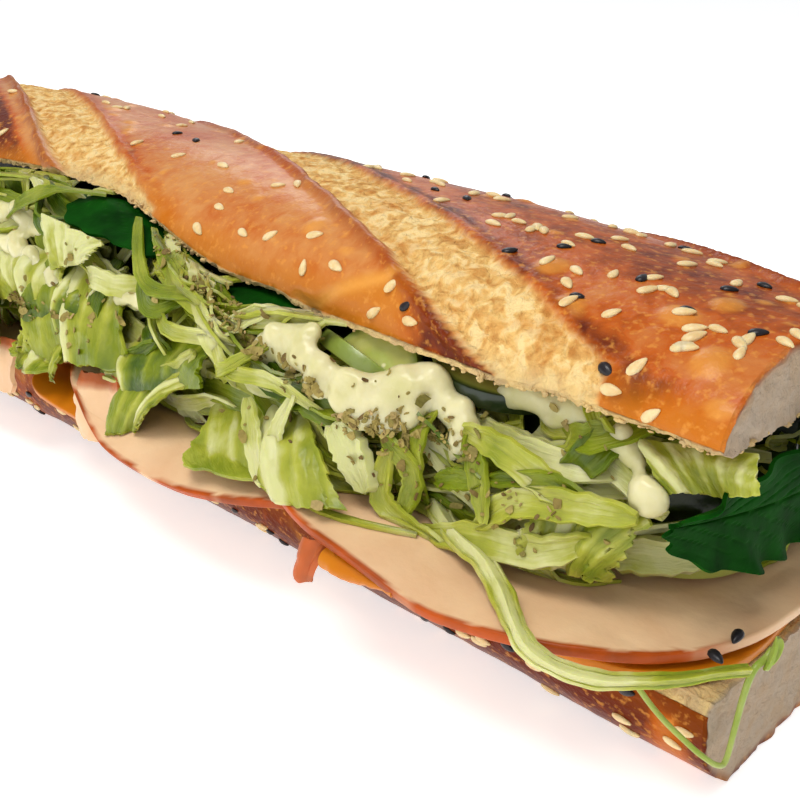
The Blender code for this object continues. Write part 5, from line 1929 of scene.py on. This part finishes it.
def build_sprout(material: Material) -> None:
    """Build the sprout's stem and the small folded seed leaf at its tip."""
    steps, around = 110, 12
    pick()
    bpy.ops.mesh.primitive_cylinder_add(vertices=around, radius=0.5, depth=1.0, location=(0, 0, 0.5))
    stem = named("sprout_stem")
    with edit_mode(stem, "DESELECT"):
        bpy.ops.mesh.select_mode(type="FACE")
    for edge in stem.data.edges:
        ends = [stem.data.vertices[index].co.z for index in edge.vertices]
        edge.select = abs(ends[0] - ends[1]) > 0.5
    with edit_mode(stem, None):
        bpy.ops.mesh.select_mode(type="EDGE")
        bpy.ops.mesh.subdivide(number_cuts=steps - 1)
    unit = spots_of(stem)
    path = smooth_path(SPROUT_ROUTE, steps + 1) * MM
    _, side, third = frame_along(path, np.array((1.0, 0.2, 0.0)))
    rows = np.rint(unit[:, 2] * steps).astype(int)
    radius = 0.00036 + 0.0001 * smooth_step(0.5, 0.9, unit[:, 2])
    spots = path[rows] + (side[rows] * unit[:, :1] + third[rows] * unit[:, 1:2]) * 2 * radius[:, None]
    reshape(stem, spots)
    recalculated(stem)
    smooth(stem, 50.0)
    dressed(stem, material, Slot.SPROUT, "sprout")
    leaf = unit_sheet("sprout_leaf", 24, 14)
    a, b = (spots_of(leaf)[:, :2] * 2.0 - 1.0).T
    wide = np.sqrt(np.clip(1.0 - a ** 2, 0.0, 1.0))
    tip = np.array(SPROUT_ROUTE[-1]) * MM
    fold = np.abs(b) ** 1.5 * wide
    spots = tip + xyz(0.0001 + 0.0008 * fold, -0.0006 + 0.0011 * b * wide + 0.0010 * a,
                            -0.0002 + 0.0018 * a)
    reshape(leaf, spots)
    finish_modifier(leaf, "SOLIDIFY", thickness=0.0004, offset=0.0)
    smooth(leaf, 70.0)
    dressed(leaf, material, Slot.SPROUT)


@dataclass(frozen=True)
class Fold:
    """A small fold of turkey or cheese at the front, between four corners in millimetres."""

    name: str
    corners: tuple[Point, Point, Point, Point]
    slot: Slot = Slot.TURKEY
    rim_from: float = 0.8

    def build(self, material: Material) -> Piece:
        """Return the fold, its upper part in the rim's colour."""
        sheet = unit_sheet(self.name, 26, 16)
        a, b = spots_of(sheet)[:, :2].T
        inset, _, _ = rounded(2.0 * a - 1.0, 2.0 * b - 1.0, 5.0)
        spots = between(self.corners, 0.5 + 0.5 * inset, b)
        spots[:, 1] -= 0.0010 * np.sin(math.pi * b) + 0.0005 * np.sin(a * 6.0)
        spots += 0.0004 * ripple(spots, 400.0, 91.0, 2)[:, None]
        reshape(sheet, spots)
        mark(sheet, rim=0.9 * smooth_step(self.rim_from - 0.06, self.rim_from + 0.06, b))
        finish_modifier(sheet, "SOLIDIFY", thickness=0.0009, offset=0.0)
        smooth(sheet, 70.0)
        return dressed(sheet, material, self.slot)


FOLDS = (
    Fold("turkey_flap", ((51.7, -40.4, 20.4), (56.0, -40.4, 20.8), (53.4, -41.4, 13.8), (51.8, -41.6, 13.8)),
         rim_from=-1.0),
    Fold("turkey_fold_left", ((-60, -37, 21), (-35, -37, 24), (-32, -40.5, 15), (-57, -40.5, 11))),
    Fold("turkey_fold_middle", ((-13, -37, 25), (1, -37.5, 28), (5, -40.5, 18), (-7, -41, 15))),
    Fold("cheese_corner_front",
         ((55.5, -40.2, 20.2), (70, -40.6, 20.4), (70, -40.9, 19.4), (56.5, -41.0, 17.2)), Slot.CHEESE),
)


def build_crumbs(top: TopShape, bottom: BottomShape, material: Material) -> Piece:
    """Return the torn crumbs and fibres along the cut edges of both breads.

    Args:
        top: The top bread's shape.
        bottom: The bottom bread's shape.
        material: Their material.

    Returns:
        The crumbs as one piece.
    """
    draw = random.Random(101)
    pick()
    bpy.ops.mesh.primitive_ico_sphere_add(subdivisions=2, radius=0.5)
    model = named("crumb")
    base = spots_of(model)
    copies = []
    edges = ((-0.014, 0.012), (0.064, 0.104), (0.070, 0.104))
    for index in range(330):
        size = draw.uniform(0.0003, 0.0009)
        stretch = np.array([draw.uniform(0.6, 1.6), draw.uniform(0.6, 1.4), draw.uniform(0.5, 1.1)])
        if index % 5 < 3:
            x = draw.uniform(*edges[index % 3]) if index % 4 else draw.uniform(top.start_x, top.end_x)
            spot = top.surface(np.array([x]), top.cut_start(np.array([x])), np.array([0.0]))[0]
            spot = spot + np.array([0.0, draw.uniform(0.0002, 0.0016), draw.uniform(-0.0005, 0.0003)])
            spot[2] -= float(top.hang(x))
        elif index % 5 == 3:
            across = draw.uniform(0.02, 0.98)
            y = top.centre_y - top.half_width + 2 * top.half_width * across
            spot = np.array([top.end_x - draw.uniform(0.0, 0.0006), y, 0.0])
            spot[2] = top.underside(spot[0], spot[1]) + draw.uniform(-0.0004, 0.0006)
        else:
            x = draw.uniform(bottom.start_x, bottom.end_x)
            spot = bottom.surface(np.array([x]), np.array([0.02]), np.array([0.0]))[0]
            spot = spot + np.array([0.0, draw.uniform(0.0, 0.0012), draw.uniform(-0.0003, 0.0003)])
        lumps = 1.0 + 0.5 * ripple(base + index, 2.5, 4.0)
        copies.append(base * size * stretch * lumps[:, None] + spot)
    crumbs = repeated("bread_crumbs", model, np.array(copies))
    smooth(crumbs, 70.0)
    mark(crumbs, tone=0.0, lip=0.0, edge=0.0, blister=0.0, slash=0.0, crumb=1.0, end=0.0)
    return dressed(crumbs, material, Slot.CRUST)


# Studio

@dataclass(frozen=True)
class Lamp:
    """A soft square lamp: its place and size in metres and its power in watts."""

    name: str
    place: Point
    size: float
    power: float
    colour: Colour


LAMPS = (
    Lamp("key", (-0.02, -0.34, 0.92), 0.45, 5.5, (1.0, 0.98, 0.94)),
    Lamp("fill", (0.10, -0.60, 0.30), 0.5, 0.9, (1.0, 1.0, 1.0)),
    Lamp("sheen", (-0.60, 0.55, 0.55), 0.4, 1.1, (0.88, 0.94, 1.0)),
)


@dataclass(frozen=True)
class Studio:
    """Pale floor, soft daylight and the camera."""

    camera_place: Point = (0.1512, -0.13042, 0.10007)
    right: Point = (0.72400, 0.68859, 0.04077)
    up: Point = (-0.30167, 0.26292, 0.91644)
    forward: Point = (-0.62033, 0.67581, -0.39808)
    lens: float = 48.58
    sky: float = 0.42
    middle: Point = (0.02, 0.0, 0.03)

    def hang(self, lamp: Lamp) -> None:
        """Add a soft square lamp that faces the sandwich."""
        light = bpy.data.lights.new(lamp.name, "AREA")
        light.size, light.energy, light.color = lamp.size, lamp.power, lamp.colour
        holder = bpy.data.objects.new(lamp.name, light)
        holder.location = lamp.place
        aim = Vector(self.middle) - Vector(lamp.place)
        holder.rotation_euler = aim.to_track_quat("-Z", "Y").to_euler()
        bpy.context.scene.collection.objects.link(holder)

    def build(self) -> None:
        """Build the floor, the lights and the camera."""
        scene = bpy.context.scene
        scene.view_settings.view_transform = "Standard"
        world = bpy.data.worlds.new("sky")
        world.use_nodes = True
        background = world.node_tree.nodes["Background"]
        background.inputs["Color"].default_value = (0.96, 0.98, 1.0, 1.0)
        background.inputs["Strength"].default_value = self.sky
        scene.world = world
        pick()
        bpy.ops.mesh.primitive_plane_add(size=12.0)
        floor = named("floor")
        s = Shader("floor")
        floor.data.materials.append(s.finish(Base_Color=linear((246, 246, 246)), Roughness=0.8,
                                             Emission_Color=(1.0, 1.0, 1.0, 1.0), Emission_Strength=0.6))
        for lamp in LAMPS:
            self.hang(lamp)
        camera = bpy.data.cameras.new("camera")
        camera.lens = self.lens
        camera.sensor_width = 36.0
        camera.clip_start = 0.005
        holder = bpy.data.objects.new("camera", camera)
        axes = Matrix((self.right, self.up, [-part for part in self.forward])).transposed()
        holder.matrix_world = Matrix.Translation(self.camera_place) @ axes.to_4x4()
        scene.collection.objects.link(holder)
        scene.camera = holder


def main() -> None:
    """Build the dressed sandwich and its studio."""
    logging.basicConfig(level=logging.INFO, format="%(name)s %(message)s")
    top, bottom = TopShape(), BottomShape()
    filling = FillingShape(top, bottom)
    mottle = mottle_group()
    crust = CrustFinish().make("crust_glaze", mottle)
    cheese = moist("sliced_cheese", mottle)
    turkey = moist("turkey_breast", mottle, BROWNED_RIM)
    lettuce = LettuceFinish().make("lettuce_leaf")

    baked = CrustFinish(honey=(176, 92, 10), shine=0.04).make("crust_baked", mottle)
    loaves = [TopBread(top).build(crust), BottomBread(bottom).build(baked)]
    seeds = Seeds(top, bottom)
    seeds.build(PALE_SESAME, loaves, moist("pale_sesame", mottle))
    seeds.build(BLACK_SESAME, loaves, moist("black_sesame", mottle))
    slices = Slices(filling)
    for piece in CHEESE:
        slices.build(piece, filling.cheese, filling.gap, cheese, Slot.CHEESE, 0.0)
    turkey_rise = filling.gap + filling.cheese + filling.slice_gap
    for piece in TURKEY:
        slices.build(piece, filling.turkey, turkey_rise, turkey, Slot.TURKEY, TURKEY_RIM)
    for fold in FOLDS:
        fold.build(turkey if fold.slot is Slot.TURKEY else cheese)
    cucumber = CucumberFinish().make("cucumber_flesh")
    for disc in CUCUMBERS:
        build_cucumber(disc, cucumber)
    DarkLeaves(top).build(DarkLeafFinish().make("dark_leaf_blade"))
    # A darker copy of the lettuce material for the core: painted shade in the gaps of the heap.
    depth = LettuceFinish((84, 92, 38), (62, 74, 24), (42, 54, 14), (22, 34, 8)).make("lettuce_painted_shade")
    Lettuce(filling).build(lettuce, depth)
    build_mayonnaise(moist("mayonnaise", mottle))
    carriers = [thing for thing in bpy.data.objects
                if thing.name.startswith(("leaf_", "strips_", "ribs_", "mayonnaise_", "lettuce_core"))]
    build_herbs(carriers, herb_material())
    build_long_shred(lettuce)
    build_sprout(moist("sprout_stem", mottle))
    build_crumbs(top, bottom, crust)
    Studio().build()


if __name__ == "__main__":
    main()
